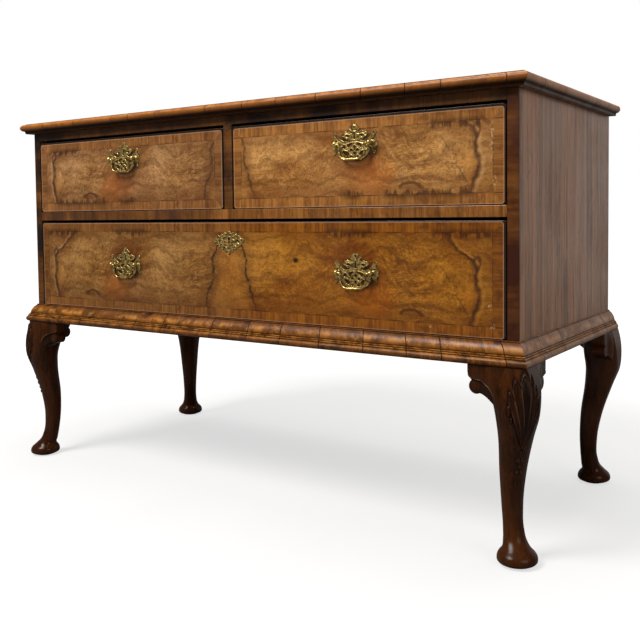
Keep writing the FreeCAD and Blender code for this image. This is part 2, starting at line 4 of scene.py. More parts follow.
import bmesh
import bpy
import numpy as np
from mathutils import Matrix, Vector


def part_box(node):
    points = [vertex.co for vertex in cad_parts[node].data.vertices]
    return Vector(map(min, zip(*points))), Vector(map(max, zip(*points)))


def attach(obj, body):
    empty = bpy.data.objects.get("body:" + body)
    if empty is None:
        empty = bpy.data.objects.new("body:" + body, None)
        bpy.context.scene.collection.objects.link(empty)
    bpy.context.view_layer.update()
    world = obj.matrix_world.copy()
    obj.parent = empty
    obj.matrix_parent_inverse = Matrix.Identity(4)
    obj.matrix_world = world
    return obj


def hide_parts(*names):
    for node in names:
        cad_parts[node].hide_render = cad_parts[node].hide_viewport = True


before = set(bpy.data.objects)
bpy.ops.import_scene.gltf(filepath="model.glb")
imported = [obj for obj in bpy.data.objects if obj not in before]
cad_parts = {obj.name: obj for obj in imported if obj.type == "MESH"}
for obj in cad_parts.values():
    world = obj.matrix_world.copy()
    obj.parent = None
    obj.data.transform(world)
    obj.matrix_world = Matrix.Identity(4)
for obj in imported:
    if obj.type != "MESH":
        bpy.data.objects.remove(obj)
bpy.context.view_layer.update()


# Four cabriole legs of solid walnut, sawn to an S from square blanks and rounded, on turned pad feet.
# A tenon at the top holds each leg in the stand. The front knees are carved with an acanthus leaf.
class Shade:
    """A value, colour or place in a node tree: arithmetic on it adds nodes to the same tree."""

    def __init__(self, tree, socket):
        self.tree = tree
        self.socket = socket

    def calc(self, operation, *others):
        return add(self.tree, "Math", self, *others, operation=operation)

    __add__ = partialmethod(calc, "ADD")
    __sub__ = partialmethod(calc, "SUBTRACT")
    __mul__ = partialmethod(calc, "MULTIPLY")
    __truediv__ = partialmethod(calc, "DIVIDE")
    __abs__ = partialmethod(calc, "ABSOLUTE")
    most = partialmethod(calc, "MAXIMUM")
    least = partialmethod(calc, "MINIMUM")

    def __rsub__(self, other):
        return add(self.tree, "Math", other, self, operation="SUBTRACT")

    def fade(self, start, end, low=0.0, high=1.0):
        """A smooth step from low at start to high at end."""
        return add(self.tree, "MapRange", self, start, end, low, high, interpolation_type="SMOOTHSTEP")

    def rise(self, start, end, high):
        """A smooth step from nothing to high."""
        return self.fade(start, end, 0.0, high)

    def fall(self, start, end, high=1.0):
        """A smooth step from high to nothing."""
        return self.fade(start, end, high, 0.0)

    def vector(self, operation, *others):
        """Arithmetic on places, axis by axis."""
        return add(self.tree, "VectorMath", self, *others, operation=operation)

    def noise(self, scale, detail, roughness=0.5, distortion=0.0, out=0):
        """Cloudy noise about a place, or along a line for a single value."""
        at = {"W": self, "noise_dimensions": "1D"} if self.socket.type == "VALUE" else {"Vector": self}
        return add(self.tree, "TexNoise", Scale=scale, Detail=detail, Roughness=roughness,
                   Distortion=distortion, out=out, **at)

    def outputs(self):
        """Every output of the node that this one comes from."""
        return [Shade(self.tree, socket) for socket in self.socket.node.outputs]


def add(tree, kind, *ordered, out=0, **named):
    """One output of a new shader node. Names in small letters are its properties; the other values are its
    inputs, in order or by name, and are linked or set."""
    node = tree.nodes.new("ShaderNode" + kind)
    for key, value in named.items():
        if key[0].islower():
            setattr(node, key, value)
    labels = {key.replace("_", " "): value for key, value in named.items() if key[0].isupper()}
    pairs = list(zip(node.inputs, ordered))
    pairs += [(node.inputs[label], value) for label, value in labels.items()]
    for socket, value in pairs:
        if isinstance(value, Shade):
            tree.links.new(value.socket, socket)
        elif value is not None:
            socket.default_value = value
    return Shade(tree, node.outputs[out])


def linear(colour):
    """A display colour of three numbers from 0 to 255 as the linear colour that shaders take."""
    if isinstance(colour, Shade) or len(colour) == 4:
        return colour
    share = np.array(colour) / 255
    light = np.where(share < 0.04045, share / 12.92, ((share + 0.055) / 1.055) ** 2.4)
    return (*light.tolist(), 1.0)


def blend(share, first, second, mode="MIX"):
    """Two colours mixed by a share; the colours are the seventh and eighth inputs of the node."""
    tree = next(value.tree for value in (share, first, second) if isinstance(value, Shade))
    return add(tree, "Mix", share, *[None] * 5, linear(first), linear(second), out=2,
               data_type="RGBA", blend_type=mode)


def layered(colour, *layers):
    """A colour with others laid over it in turn, each by its share."""
    for share, tone in layers:
        colour = blend(share, colour, tone)
    return colour


def shader_group(name, inputs, outputs):
    """An empty node group with named sockets: its tree, its inputs, and the sockets for its results."""
    tree = bpy.data.node_groups.new(name, "ShaderNodeTree")
    for way, sockets in (("INPUT", inputs), ("OUTPUT", outputs)):
        for label, kind in sockets.items():
            tree.interface.new_socket(label, in_out=way, socket_type="NodeSocket" + kind)
    source = tree.nodes.new("NodeGroupInput").outputs[:len(inputs)]
    return tree, [Shade(tree, socket) for socket in source], tree.nodes.new("NodeGroupOutput").inputs


def fill_group(sink, *results):
    """Links a group's results to the sockets of its output."""
    for socket, result in zip(sink, results):
        result.tree.links.new(result.socket, socket)


def use_group(group, first, *others):
    """A node of a group in the tree of its first input; returns its outputs."""
    return add(first.tree, "Group", first, *others, node_tree=group).outputs()


def new_material(name):
    """A material, and the place on the piece in metres."""
    material = bpy.data.materials.new(name)
    material.use_nodes = True
    return material, add(material.node_tree, "TexCoord", out=3)


def finish_material(material, colour, roughness, height, bump, gloss=0.5, metallic=0.0):
    """A Principled surface over a colour, a roughness and a height in the material's own tree."""
    tree = material.node_tree
    surface = tree.nodes["Principled BSDF"].inputs
    normal = add(tree, "Bump", Strength=1.0, Distance=bump, Height=height)
    for label, value in (("Base Color", colour), ("Roughness", roughness), ("Normal", normal)):
        tree.links.new(value.socket, surface[label])
    surface["Specular IOR Level"].default_value = gloss
    surface["Metallic"].default_value = metallic
    return material


# Fibres run along one axis: noise drawn out along the grain gives streaks, and short dashes give pores.
fibre, (place, grain), sink = shader_group(
    "wood_fibre", {"Vector": "Vector", "Grain": "Vector"}, {"Streak": "Float", "Pore": "Float"}
)
waver = place.noise(5.0, 2.0, out=1)
bent = waver.vector("MULTIPLY_ADD", (2.2, 2.2, 2.2), place.vector("MULTIPLY", grain))
streak = bent.noise(4.5, 4.0, 0.7) * 0.45 + bent.noise(0.7, 5.0, 0.62) * 0.55
fill_group(sink, streak, bent.noise(7.0, 2.0).fade(0.6, 0.72))

# Old wax dulls in patches, and specks of dust stay on it.
patina, (place,), sink = shader_group(
    "waxed_patina", {"Vector": "Vector"}, {"Dull": "Float", "Speck": "Float"}
)
fill_group(sink, place.noise(9.0, 5.0, 0.6).fade(0.35, 0.7), place.noise(260.0, 2.0).fade(0.66, 0.78))


def wood_marks(place, grain):
    """Streaks and pores along a grain, and dull patches and specks of old wax."""
    return *use_group(fibre, place, grain), *use_group(patina, place)


def relief_marks(tree):
    """How hollow a surface is, and where it has wear and a painted highlight: one number on its points,
    above or below nought.
    """
    relief = add(tree, "Attribute", attribute_name="hollow", out=2)
    return relief.most(0.0), (relief * -1.0).most(0.0)


material, place = new_material("dark_walnut")
streak, pore, dull, speck = wood_marks(place, (60.0, 60.0, 6.0))
hollow, wear_and_highlight = relief_marks(place.tree)
# The carving is darker in its hollows; its ridges, beads and raised line show wear and a painted highlight
wood = layered(
    blend(streak.fade(0.32, 0.68), (15, 6, 2), (64, 31, 9)),
    (pore * 0.5, (12, 5, 2)),
    (dull * 0.36, (78, 41, 13)),
    (hollow * 0.8, (9, 4, 2)),
    (wear_and_highlight * 0.42, (120, 88, 62)),
    (speck * 0.12, (96, 66, 42)),
)
rough = dull * 0.12 + hollow * 0.25 + 0.17
dark_walnut = finish_material(material, wood, rough, streak, bump=0.0002, gloss=0.1)


def smooth_table(at, knots, values):
    """A cubic through a table's values: each span's slopes come from its neighbours."""
    slopes = np.gradient(values, knots)
    span = np.clip(np.searchsorted(knots, at, side="right") - 1, 0, len(knots) - 2)
    width = knots[span + 1] - knots[span]
    share = (at - knots[span]) / width
    rest = 1 - share
    start = rest * rest * (1 + 2 * share) * values[span] + share * rest * rest * width * slopes[span]
    end = share * share * (1 + 2 * rest) * values[span + 1] - share * share * rest * width * slopes[span + 1]
    return start + end


def step_between(low, high, value):
    """Smooth step from 0 at low to 1 at high, on arrays."""
    share = np.clip((value - low) / (high - low), 0, 1)
    return share * share * (3 - 2 * share)


def bump_at(value, middle, width):
    """A bell curve of one at a middle, on arrays."""
    return np.exp(-(((value - middle) / width) ** 2))


def grid_faces(rows, columns, around=True):
    """Four-sided faces between the rows of a grid, whose columns may close on themselves."""
    index = np.arange(rows * columns).reshape(rows, columns)
    if around:
        index = np.concatenate([index, index[:, :1]], axis=1)
    corners = [index[:-1, :-1], index[:-1, 1:], index[1:, 1:], index[1:, :-1]]
    return np.stack(corners, axis=-1).reshape(-1, 4)


def make_piece(name, points, faces, body, slot, material, replaced=None, uv=None, hollow=None, sharp=50):
    """A closed mesh piece on a body, in the place of a CAD node: equal points are merged, its faces turned
    outwards, and edges over an angle in degrees stay sharp."""
    mesh = bpy.data.meshes.new(name)
    mesh.from_pydata(points.reshape(-1, 3).tolist(), [], faces.tolist())
    if uv is not None:
        corner = np.zeros(len(mesh.loops), dtype=int)
        mesh.loops.foreach_get("vertex_index", corner)
        mesh.uv_layers.new(name="UVMap").data.foreach_set("uv", uv.reshape(-1, 2)[corner].ravel())
    if hollow is not None:
        mesh.attributes.new("hollow", "FLOAT", "POINT").data.foreach_set("value", hollow.ravel())
    work = bmesh.new()
    work.from_mesh(mesh)
    bmesh.ops.remove_doubles(work, verts=work.verts, dist=1e-6)
    bmesh.ops.recalc_face_normals(work, faces=work.faces)
    work.to_mesh(mesh)
    work.free()
    mesh.polygons.foreach_set("use_smooth", np.ones(len(mesh.polygons), dtype=bool))
    mesh.set_sharp_from_angle(angle=math.radians(sharp))
    mesh.materials.append(material)
    piece = bpy.data.objects.new(name, mesh)
    bpy.context.scene.collection.objects.link(piece)
    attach(piece, body)
    if replaced:
        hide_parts(replaced)


corner_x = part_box("stile_facing_right")[1].x
front_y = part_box("stile_facing_right")[0].y
back_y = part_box("side_panel_right")[1].y
leg_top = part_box("waist_moulding_front")[0].z
sides = {"left": -1, "right": 1}

# For each pair of legs: the carcass corner's Y, the way out along Y, and how far the foot is set in
leg_pairs = {"front": (front_y, -1, 0.0045), "rear": (back_y, 1, 0.022)}

# Heights up the leg, set of its centre line from the carcass corner, half thickness, roundness from 0 to 1
leg_table = np.array([
    (0.0, 0.0, 0.0198, 1.0), (0.0038, 0.0, 0.0288, 1.0), (0.0113, -0.0003, 0.032, 1.0),
    (0.0175, -0.0008, 0.0298, 1.0), (0.025, -0.0022, 0.0230, 1.0), (0.036, -0.0072, 0.0182, 0.95),
    (0.050, -0.0106, 0.0163, 0.92), (0.0908, -0.0148, 0.0168, 0.92), (0.1409, -0.0138, 0.0206, 0.92),
    (0.2035, -0.0061, 0.0272, 0.90), (0.2348, -0.0027, 0.0320, 0.80), (0.2660, -0.0052, 0.0334, 0.55),
    (0.2942, -0.0085, 0.0315, 0.36), (0.3130, -0.0117, 0.0288, 0.20),
])
foot_height, foot_rings, leg_rings, leg_sides = 0.036, 26, 270, 240

# Beads in a staggered row below the leaf and two husks beside it: the knee's radius there, height, radius,
# set to each side, slimness, and how far the bead stands up
knee_beads = (
    (0.025, 0.179, 0.0040, 0.0, 1.0, 0.0014), (0.025, 0.167, 0.0040, 0.004, 1.0, 0.0014),
    (0.025, 0.156, 0.0034, 0.0, 1.0, 0.0014), (0.025, 0.147, 0.0032, 0.0035, 1.0, 0.0014),
    (0.038, 0.2475, 0.0075, 0.0315, 2.0, 0.0001), (0.038, 0.233, 0.004, 0.0275, 1.6, 0.0001),
)
leaf_tip, lobe_fall, ground_cut = 0.187, 0.014, 0.0024
flute_cut, vein_lift, bead_ground = 0.0022, 0.0009, 0.002
lobe_tops = np.array([0.3065, 0.2950, 0.2770])


def leg_section(z, inset):
    """The set of a leg's centre line, its half thickness and its roundness at a height."""
    centre, half, roundness = (smooth_table(z, leg_table[:, 0], column) for column in leg_table.T[1:])
    return centre - inset * (1 - z / leg_top), half, roundness


def knee_leaf(angle, z):
    """How far the knee's surface is cut back for an acanthus leaf, and its relief there, darker in the
    hollows and with wear and a painted highlight on ridges and beads: fluted lobes that fan up from a tip
    low on the knee, the middle one highest, with husks and beads."""
    rise = np.clip((z - leaf_tip) / (lobe_tops[0] - leaf_tip), 0, 1.2)
    spread = np.radians(3.0 + 63.0 * rise ** 0.85)
    flute = angle / spread * 2.5
    lobe = np.clip(np.round(flute), -2, 2)
    across = np.abs(2 * (flute - lobe))
    lobe_top = np.interp(np.abs(lobe), [0, 1, 2], lobe_tops)
    crown = lobe_top - z - lobe_fall * np.minimum(across, 1.3) ** 1.25
    edge = np.minimum(crown, np.minimum(0.0012 + (2.5 - np.abs(flute)) * 0.012, z - leaf_tip + 0.001))
    leaf = step_between(-0.0005, 0.0005, edge)
    ground = step_between(-0.012, -0.0012, edge) * (1 - leaf)
    depth = 0.3 + 0.7 * np.minimum(rise * 2.5, 1)
    scoop = leaf * (1 - np.minimum(across, 1.0) ** 2) * depth * step_between(0.0, 0.006, crown)
    vein = leaf * bump_at(across, 0, 0.16) * step_between(0.004, 0.02, crown)
    ridge = leaf * np.maximum(step_between(0.8, 1.0, across), step_between(0.0024, 0.0006, crown))
    cut = ground_cut * ground + flute_cut * scoop - vein_lift * vein
    relief = 0.9 * ground + 0.75 * scoop - 0.25 * vein - 0.9 * ridge * depth
    for knee_radius, height, radius, offset, slim, lift in knee_beads:
        away = np.hypot((np.abs(angle) * knee_radius - offset) * slim, z - height) / radius
        bead = np.sqrt(np.clip(1 - away * away, 0, 1))
        ring = bump_at(away, 1.25, 0.25)
        cut = cut - lift * bead + (bead_ground - lift) * ring
        relief = relief + 0.8 * ring - 0.35 * step_between(0.75, 1.0, bead)
    return cut, np.clip(relief, -1, 1)


# A leg is a rounded square about its centre line at each height; a point at its top and foot closes it.
for end, (corner_y, out_y, inset) in leg_pairs.items():
    sweep = np.linspace(-math.pi, math.pi, leg_sides, endpoint=False)
    foot, shank = np.linspace(0, foot_height, foot_rings), np.linspace(foot_height, leg_top, leg_rings)
    angle, z = np.meshgrid(sweep - 0.3 * np.sin(sweep), np.concatenate([foot, shank[1:]]))
    centre, half, roundness = leg_section(z, inset)
    along = np.cos(angle + math.pi / 4)
    beside = np.sin(angle + math.pi / 4)
    radius = half * np.clip(roundness, 0, 1)
    arm = half - radius
    total = np.abs(along) + np.abs(beside)
    to_corner = arm * total + np.sqrt(np.maximum((arm * total) ** 2 - 2 * arm ** 2 + radius ** 2, 0))
    to_flat = half / np.maximum(np.abs(along), np.abs(beside))
    on_flat = to_flat * np.minimum(np.abs(along), np.abs(beside)) < arm
    reach = np.where(on_flat, to_flat, to_corner)
    hollow = np.zeros_like(reach)
    if end == "front":
        cut, hollow = knee_leaf(angle, z)
        reach = reach - cut
    reach = np.pad(reach, ((1, 1), (0, 0)))
    z, centre, along, beside, hollow = (
        np.pad(part, ((1, 1), (0, 0)), mode="edge") for part in (z, centre, along, beside, hollow)
    )
    for side, sign in sides.items():
        x = sign * (corner_x + centre + reach * along)
        y = corner_y + out_y * (centre + reach * beside)
        make_piece("carved_leg_" + end + "_" + side, np.stack([x, y, z], axis=-1), grid_faces(*x.shape),
                   "carcass", "dark_walnut", dark_walnut, "leg_" + end + "_" + side, hollow=hollow, sharp=70)


# Knee brackets: short walnut blocks glued beside each leg under the stand, sawn to an ogee with a round ear.
# The front ones are carved to flow into the knee, with a raised line over the ear; the rear ones are plain.
bracket_length, bracket_drop, bracket_end, bracket_root = 0.040, 0.068, 0.010, -0.008
bracket_face, bracket_back, bracket_seat = 0.015, -0.011, -0.0405
ear_radius, ear_set, ear_drop = 0.0122, 0.0262, 0.0352
bracket_heart = np.array([0.001, 0.016])
bead_width, bead_height, ear_sunk, boss_height = 0.0017, 0.0011, 0.0026, 0.0024
round_from, round_depth = 0.94, 0.0012

# The raised line over the ear: drops below the stand, and distances from the leg
line_drops = [0.0, 0.0225, 0.0240, 0.0262, 0.0320, 0.0400, 0.0480, 0.0680]
line_sets = [0.06, 0.0335, 0.0240, 0.0140, 0.0030, -0.0040, -0.0070, -0.0080]


def arc_points(start, way, end, count):
    """Points on a circle's arc from start through a way point to an end."""
    (ax, ay), (bx, by), (cx, cy) = start, way, end
    turn = 2 * (ax * (by - cy) + bx * (cy - ay) + cx * (ay - by))
    a2, b2, c2 = ax * ax + ay * ay, bx * bx + by * by, cx * cx + cy * cy
    ox = (a2 * (by - cy) + b2 * (cy - ay) + c2 * (ay - by)) / turn
    oy = (a2 * (cx - bx) + b2 * (ax - cx) + c2 * (bx - ax)) / turn
    first = math.atan2(ay - oy, ax - ox)
    whole = (math.atan2(cy - oy, cx - ox) - first) % (2 * math.pi)
    part = (math.atan2(by - oy, bx - ox) - first) % (2 * math.pi)
    whole = whole if part < whole else whole - 2 * math.pi
    angle = first + whole * np.linspace(0, 1, count)
    radius = math.hypot(ax - ox, ay - oy)
    return np.stack([ox + radius * np.cos(angle), oy + radius * np.sin(angle)], axis=-1)


def bracket_outline(eared):
    """The bracket's edge as distance from the leg and drop below the stand, once round."""
    toe, root, tip = (bracket_root, bracket_drop), (bracket_root, 0.0), (bracket_length, 0.0)
    shoulder = (bracket_length, bracket_end)
    if eared:
        on_ear = [(ear_set + ear_radius * math.cos(a), ear_drop + ear_radius * math.sin(a))
                  for a in np.radians([-50.0, 35.0, 120.0])]
        heel = on_ear[2]
        cove = ((heel[0] + toe[0]) / 2 - 0.2 * ear_radius, (heel[1] + toe[1]) / 2 - 0.3 * ear_radius)
        bulge = (0.965 * bracket_length, (bracket_end + on_ear[0][1]) / 2)
        curve = [arc_points(shoulder, bulge, on_ear[0], 16), arc_points(*on_ear, 44),
                 arc_points(heel, cove, toe, 30)]
    else:
        middle = (0.45 * bracket_length, ear_drop)
        curve = [arc_points(shoulder, (0.032, 0.027), middle, 24),
                 arc_points(middle, (0.0064, 0.0432), toe, 30)]
    straight = [np.linspace(toe, root, 16), np.linspace(root, tip, 20), np.linspace(tip, shoulder, 6)]
    return np.concatenate([part[:-1] for part in curve + straight])


def knee_face(z, inward, inset):
    """How far out the leg's rounded face lies at a height and a place along it."""
    centre, half, roundness = leg_section(z, inset)
    arm = half * (1 - roundness)
    past = np.clip(np.abs(inward - centre) - arm, 0, half - arm)
    return centre + arm + np.sqrt((half - arm) ** 2 - past ** 2)


def bracket_block(eared, carved, inset):
    """Points of a bracket as distance from the leg, way out and drop, and the relief of each, darker where
    sunk and with wear and a painted highlight on the raised line: lines from a heart to the edge make the
    face, which meets the knee, and the edge runs straight back."""
    rim = bracket_outline(eared)
    share = np.concatenate([np.linspace(0, round_from, 30), np.linspace(round_from + 0.01, 1, 6)])
    face = bracket_heart + share[:, None, None] * (rim - bracket_heart)
    away, drop = face[..., 0], face[..., 1]
    knee = knee_face(leg_top - drop, bracket_seat + 0.006, inset) - 0.0006
    way_out = bracket_face + (knee - bracket_face) * step_between(0.022, -0.006, away)
    hollow = np.zeros_like(away)
    if carved:
        beyond = away - np.interp(drop, line_drops, line_sets)
        bead = bump_at(beyond, 0, bead_width)
        sunk = step_between(0.0006, 0.0024, beyond)
        boss = np.clip(1 - np.hypot(away - ear_set, drop - ear_drop) ** 2 / (0.9 * ear_radius) ** 2, 0, 1)
        way_out = way_out + bead_height * bead - ear_sunk * sunk + boss_height * boss
        hollow = 0.8 * sunk * (1 - boss) - 0.9 * bead
    round_edge = np.clip((share - round_from) / (1 - round_from), 0, 1)
    way_out = way_out - round_depth * (1 - np.sqrt(1 - round_edge * round_edge * 0.999))[:, None]
    back = np.linspace(0.2, 1, 5)[:, None] * (bracket_back - way_out[-1]) + way_out[-1]
    way_out = np.vstack([way_out, back, back[-1:]])
    away, drop = (np.vstack([part, np.repeat(part[-1:], 5, axis=0), 0 * part[-1:] + middle])
                  for part, middle in zip((away, drop), bracket_heart))
    hollow = np.vstack([hollow, np.zeros((6, hollow.shape[1]))])
    return away, way_out, drop, hollow


def joined(grids):
    """Several grids of points as one mesh: their points end to end, and their faces numbered on."""
    starts = np.cumsum([0] + [grid.size // 3 for grid in grids])
    faces = [grid_faces(*grid.shape[:2]) + start for grid, start in zip(grids, starts)]
    return np.concatenate([grid.reshape(-1, 3) for grid in grids]), np.concatenate(faces)


for end, (corner_y, out_y, inset) in leg_pairs.items():
    across_front = bracket_block(end == "front", end == "front", inset)
    beside = bracket_block(True, end == "front", inset)
    hollow = np.concatenate([across_front[3].ravel(), beside[3].ravel()])
    for side, sign in sides.items():
        blocks = []
        for (away, way_out, drop, _), on_side in ((across_front, False), (beside, True)):
            inward = bracket_seat - away
            first, second = (way_out, inward) if on_side else (inward, way_out)
            block = [sign * (corner_x + first), corner_y + out_y * second, leg_top - drop]
            blocks.append(np.stack(block, axis=-1))
        node = "knee_brackets_" + end + "_" + side
        make_piece("carved_" + node, *joined(blocks), "carcass", "dark_walnut", dark_walnut, node,
                   hollow=hollow)


# The stand's four rails and the rough boards inside the carcass are pine, sawn and planed flat, tenoned and
# nailed. They never had polish, so they have gone brown and grey with dust.
def finish_nodes(nodes, material, arris):
    """CAD boards with their own material and a worn arris: triangles are joined to flat faces, and the edges
    between these are rounded."""
    steps = {
        "WELD": {"merge_threshold": 0.00002},
        "DECIMATE": {"decimate_type": "DISSOLVE", "angle_limit": math.radians(2)},
        "BEVEL": {"width": arris, "segments": 2, "limit_method": "ANGLE", "angle_limit": math.radians(40)},
    }
    for node in nodes:
        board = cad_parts[node]
        board.data.materials.clear()
        board.data.materials.append(material)
        for kind, settings in steps.items():
            modifier = board.modifiers.new(kind.lower(), kind)
            for key, value in settings.items():
                setattr(modifier, key, value)


def rough_board(name, grain, light, dark, dirt):
    """Unpolished softwood: growth lines along the grain, and dirt in patches."""
    material, place = new_material(name)
    streak, pore, dull, speck = wood_marks(place, grain)
    lines = add(place.tree, "TexWave", Vector=place.vector("MULTIPLY", grain), Scale=0.22, Distortion=6.0,
                Detail=3.0, Detail_Scale=0.8, out=1)
    wood = layered(blend(streak, dark, light), (lines * 0.35, dark), (dull * 0.55, dirt), (pore * 0.3, dark))
    return finish_material(material, wood, speck * 0.1 + dull * 0.15 + 0.68, streak, bump=0.0005, gloss=0.2)


pine_arris = 0.001
pine_across = rough_board("pine_across", (5.0, 70.0, 70.0), (168, 122, 74), (104, 66, 36), (84, 64, 48))
pine_deep = rough_board("pine_deep", (70.0, 5.0, 70.0), (160, 116, 72), (98, 62, 36), (80, 60, 46))
finish_nodes(["stand_rail_front", "stand_rail_back", "dust_board", "bottom_board", "back_boards",
              "drawer_stops"], pine_across, pine_arris)
finish_nodes(["stand_rail_left", "stand_rail_right", "drawer_kickers", "centre_partition"],
             pine_deep, pine_arris)


# Cross-grain mouldings: short lengths of walnut laid side by side with the grain across the strip, glued to
# a pine core and scraped to a profile. One runs round the chest's waist and one round the edge of the top.
material, place = new_material("cross_grain_walnut")
tree = place.tree
strip = add(tree, "TexCoord", out=2)
lengths = add(tree, "SeparateXYZ", strip) * 11.0
each = add(tree, "TexVoronoi", voronoi_dimensions="1D", W=lengths, Scale=1.0, out=1)
joint = add(tree, "TexVoronoi", voronoi_dimensions="1D", feature="DISTANCE_TO_EDGE", W=lengths, Scale=1.0)
seam = joint.fall(0.003, 0.014)
shift = each.vector("MULTIPLY_ADD", (0.4, 0.1, 0.7), strip)
streak, pore, dull, _ = wood_marks(shift, (210.0, 12.0, 1.0))
hollow, wear_and_highlight = relief_marks(tree)
patchiness = strip.noise(42.0, 4.0, 0.65)
place_x, place_y, place_z = add(tree, "SeparateXYZ", place).outputs()
# The side runs get dust and a painted sheen, paler than the front
dust_and_sheen = (abs(place_x) + place_y).rise(corner_x + front_y, corner_x + front_y + 0.001, 0.3)
# Crests get wear with a painted highlight; grooves and the underside of the top's nose get painted shade
wood = layered(
    blend(streak.fade(0.3, 0.68), (32, 13, 1), (142, 81, 18)),
    (shift.noise(34.0, 4.0, distortion=0.6).rise(0.46, 0.62, 0.9), (34, 14, 2)),
    (add(tree, "SeparateColor", each) * 0.75, (58, 28, 5)),
    (strip.noise(300.0, 3.0, 0.7).rise(0.47, 0.66, 0.7), (38, 17, 2)),
    (wear_and_highlight * patchiness.fade(0.4, 0.62, 0.05, 0.65), (208, 140, 66)),
    (pore * 0.35, (40, 18, 8)),
    (dull * 0.2, (156, 92, 26)),
    (place_z.rise(0.5, 0.6, 0.26), (186, 112, 46)),
    (dust_and_sheen * patchiness.fade(0.4, 0.6, 0.75, 1.3), (178, 146, 122)),
    (hollow * 0.9, (22, 9, 3)),
    (seam * 0.9, (24, 11, 5)),
)
rough = dull * 0.14 + seam * 0.3 + 0.32
cross_grain = finish_material(material, wood, rough, streak - seam * 1.6, bump=0.0004, gloss=0.15)


def mitred_strip(name, node, profile, place, length, count):
    """A moulding: a closed profile, as way out, height and relief (above nought painted shade, below nought
    wear and a painted highlight), is carried along a straight run, whose ends move out with the profile for
    the mitres. Each end has a flat cap."""
    middle = np.tile(profile.mean(axis=0), (len(profile), 1))
    share = np.linspace(0, 1, count)
    rings = np.concatenate([middle[None], np.repeat(profile[None], count, axis=0), middle[None]])
    share = np.concatenate([share[:1], share, share[-1:]])[:, None]
    shape = rings.shape[:2]
    step = np.hypot(*np.diff(profile[:, :2], axis=0, append=profile[:1, :2]).T)
    girth = np.concatenate([[0], np.cumsum(step)[:-1]])
    uv = np.stack([np.broadcast_to(share * length, shape), np.broadcast_to(girth, shape)], axis=-1)
    make_piece(name, place(rings[..., 0], rings[..., 1], share), grid_faces(*shape), "carcass",
               "cross_grain_walnut", cross_grain, node, uv=uv, hollow=rings[..., 2], sharp=35)


def along_front(out, z, share):
    """Points of a strip along the front, mitred at both ends."""
    return np.stack([(corner_x + out) * (2 * share - 1), front_y - out, z], axis=-1)


def along_side(sign, end):
    """Points of a strip along one side, mitred at the front and square at the back."""
    def place(out, z, share):
        y = (front_y - out) * (1 - share) + end * share
        return np.stack([sign * (corner_x + out), y, z], axis=-1)
    return place


def rounded(centre, radius, first, last, count, relief, crest):
    """Points of a profile on an arc between two angles in degrees, whose relief is strongest at its crest.
    """
    angle = np.linspace(first, last, count)
    turn = np.radians(angle)
    depth = relief * bump_at(angle, crest, 30)
    return np.stack([centre[0] + radius * np.cos(turn), centre[1] + radius * np.sin(turn), depth], axis=-1)


def upright_face(out, low, high, relief):
    """Two points of a profile, one over the other."""
    return [(out, low, relief), (out, high, relief)]


# From below: a bead, two thin fillets with grooves beside them, a broad sloping round and a last fillet
waist_low, waist_high = (corner.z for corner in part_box("waist_moulding_front"))
waist_out = front_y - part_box("waist_moulding_front")[0].y
waist_height = waist_high - waist_low
bead, lower_fillet, upper_fillet, fillet, groove = 0.0062, 0.0168, 0.0146, 0.002, 0.0016
slope_steps = 24
slope = arc_points((0.0130, 0.0196), (0.0098, 0.0291), (0.0030, 0.0366), slope_steps)
# Each profile point's third number is its relief: above nought is painted shade in the grooves and at the
# last fillet, below nought is wear with a painted highlight on the bead, the fillets and the slope's middle
slope_highlight = -0.8 * bump_at(np.linspace(0, 1, slope_steps), 0.4, 0.25)
waist_profile = np.concatenate([
    [(0.0, 0.0, 0.0)],
    rounded((waist_out - bead, bead), bead, -90, 88, 22, -0.4, 50.0),
    upright_face(lower_fillet - groove, 0.0126, 0.0134, 1.0),
    upright_face(lower_fillet, 0.0136, 0.0154, -0.9),
    upright_face(upper_fillet - groove, 0.0156, 0.0164, 1.0),
    upright_face(upper_fillet, 0.0166, 0.0183, -0.9),
    upright_face(upper_fillet - groove - 0.001, 0.0185, 0.0194, 1.0),
    np.column_stack([slope, slope_highlight]),
    [(fillet, 0.0369, 1.0), (fillet, waist_height, -0.4), (0.0, waist_height, 0.0)],
]) + (0.0, waist_low, 0.0)

# The top's edge is a half round between two small quirks, with painted shade in the quirks and under
# the nose, and wear with a painted highlight on its upper half
top_low, top_high = (corner.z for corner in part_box("top_edge_front"))
nose_radius, quirk, edge_seat = 0.0075, 0.0015, -0.008
nose = top_high - quirk - nose_radius
nose_out = front_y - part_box("top_edge_front")[0].y - nose_radius
quirk_out = nose_out - quirk
top_profile = np.concatenate([
    [(edge_seat, top_low, 0.0), (quirk_out, top_low, 1.0), (quirk_out, nose - nose_radius, 1.0)],
    rounded((nose_out, nose), nose_radius, -90, -20, 10, 1.0, -70.0),
    rounded((nose_out, nose), nose_radius, -13, 90, 16, -0.7, 50.0),
    [(quirk_out, nose + nose_radius, 0.9), (quirk_out, top_high, -0.4), (edge_seat, top_high, 0.0)],
])
front_run, side_run, front_rings, side_rings = 1.21, 0.515, 90, 40
for kind, node, profile in (
    ("cross_grain_waist_", "waist_moulding_", waist_profile), ("cross_grain_top_", "top_edge_", top_profile)
):
    mitred_strip(kind + "front", node + "front", profile, along_front, front_run, front_rings)
    strip_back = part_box(node + "right")[1].y
    for side, sign in sides.items():
        mitred_strip(kind + side, node + side, profile, along_side(sign, strip_back), side_run, side_rings)


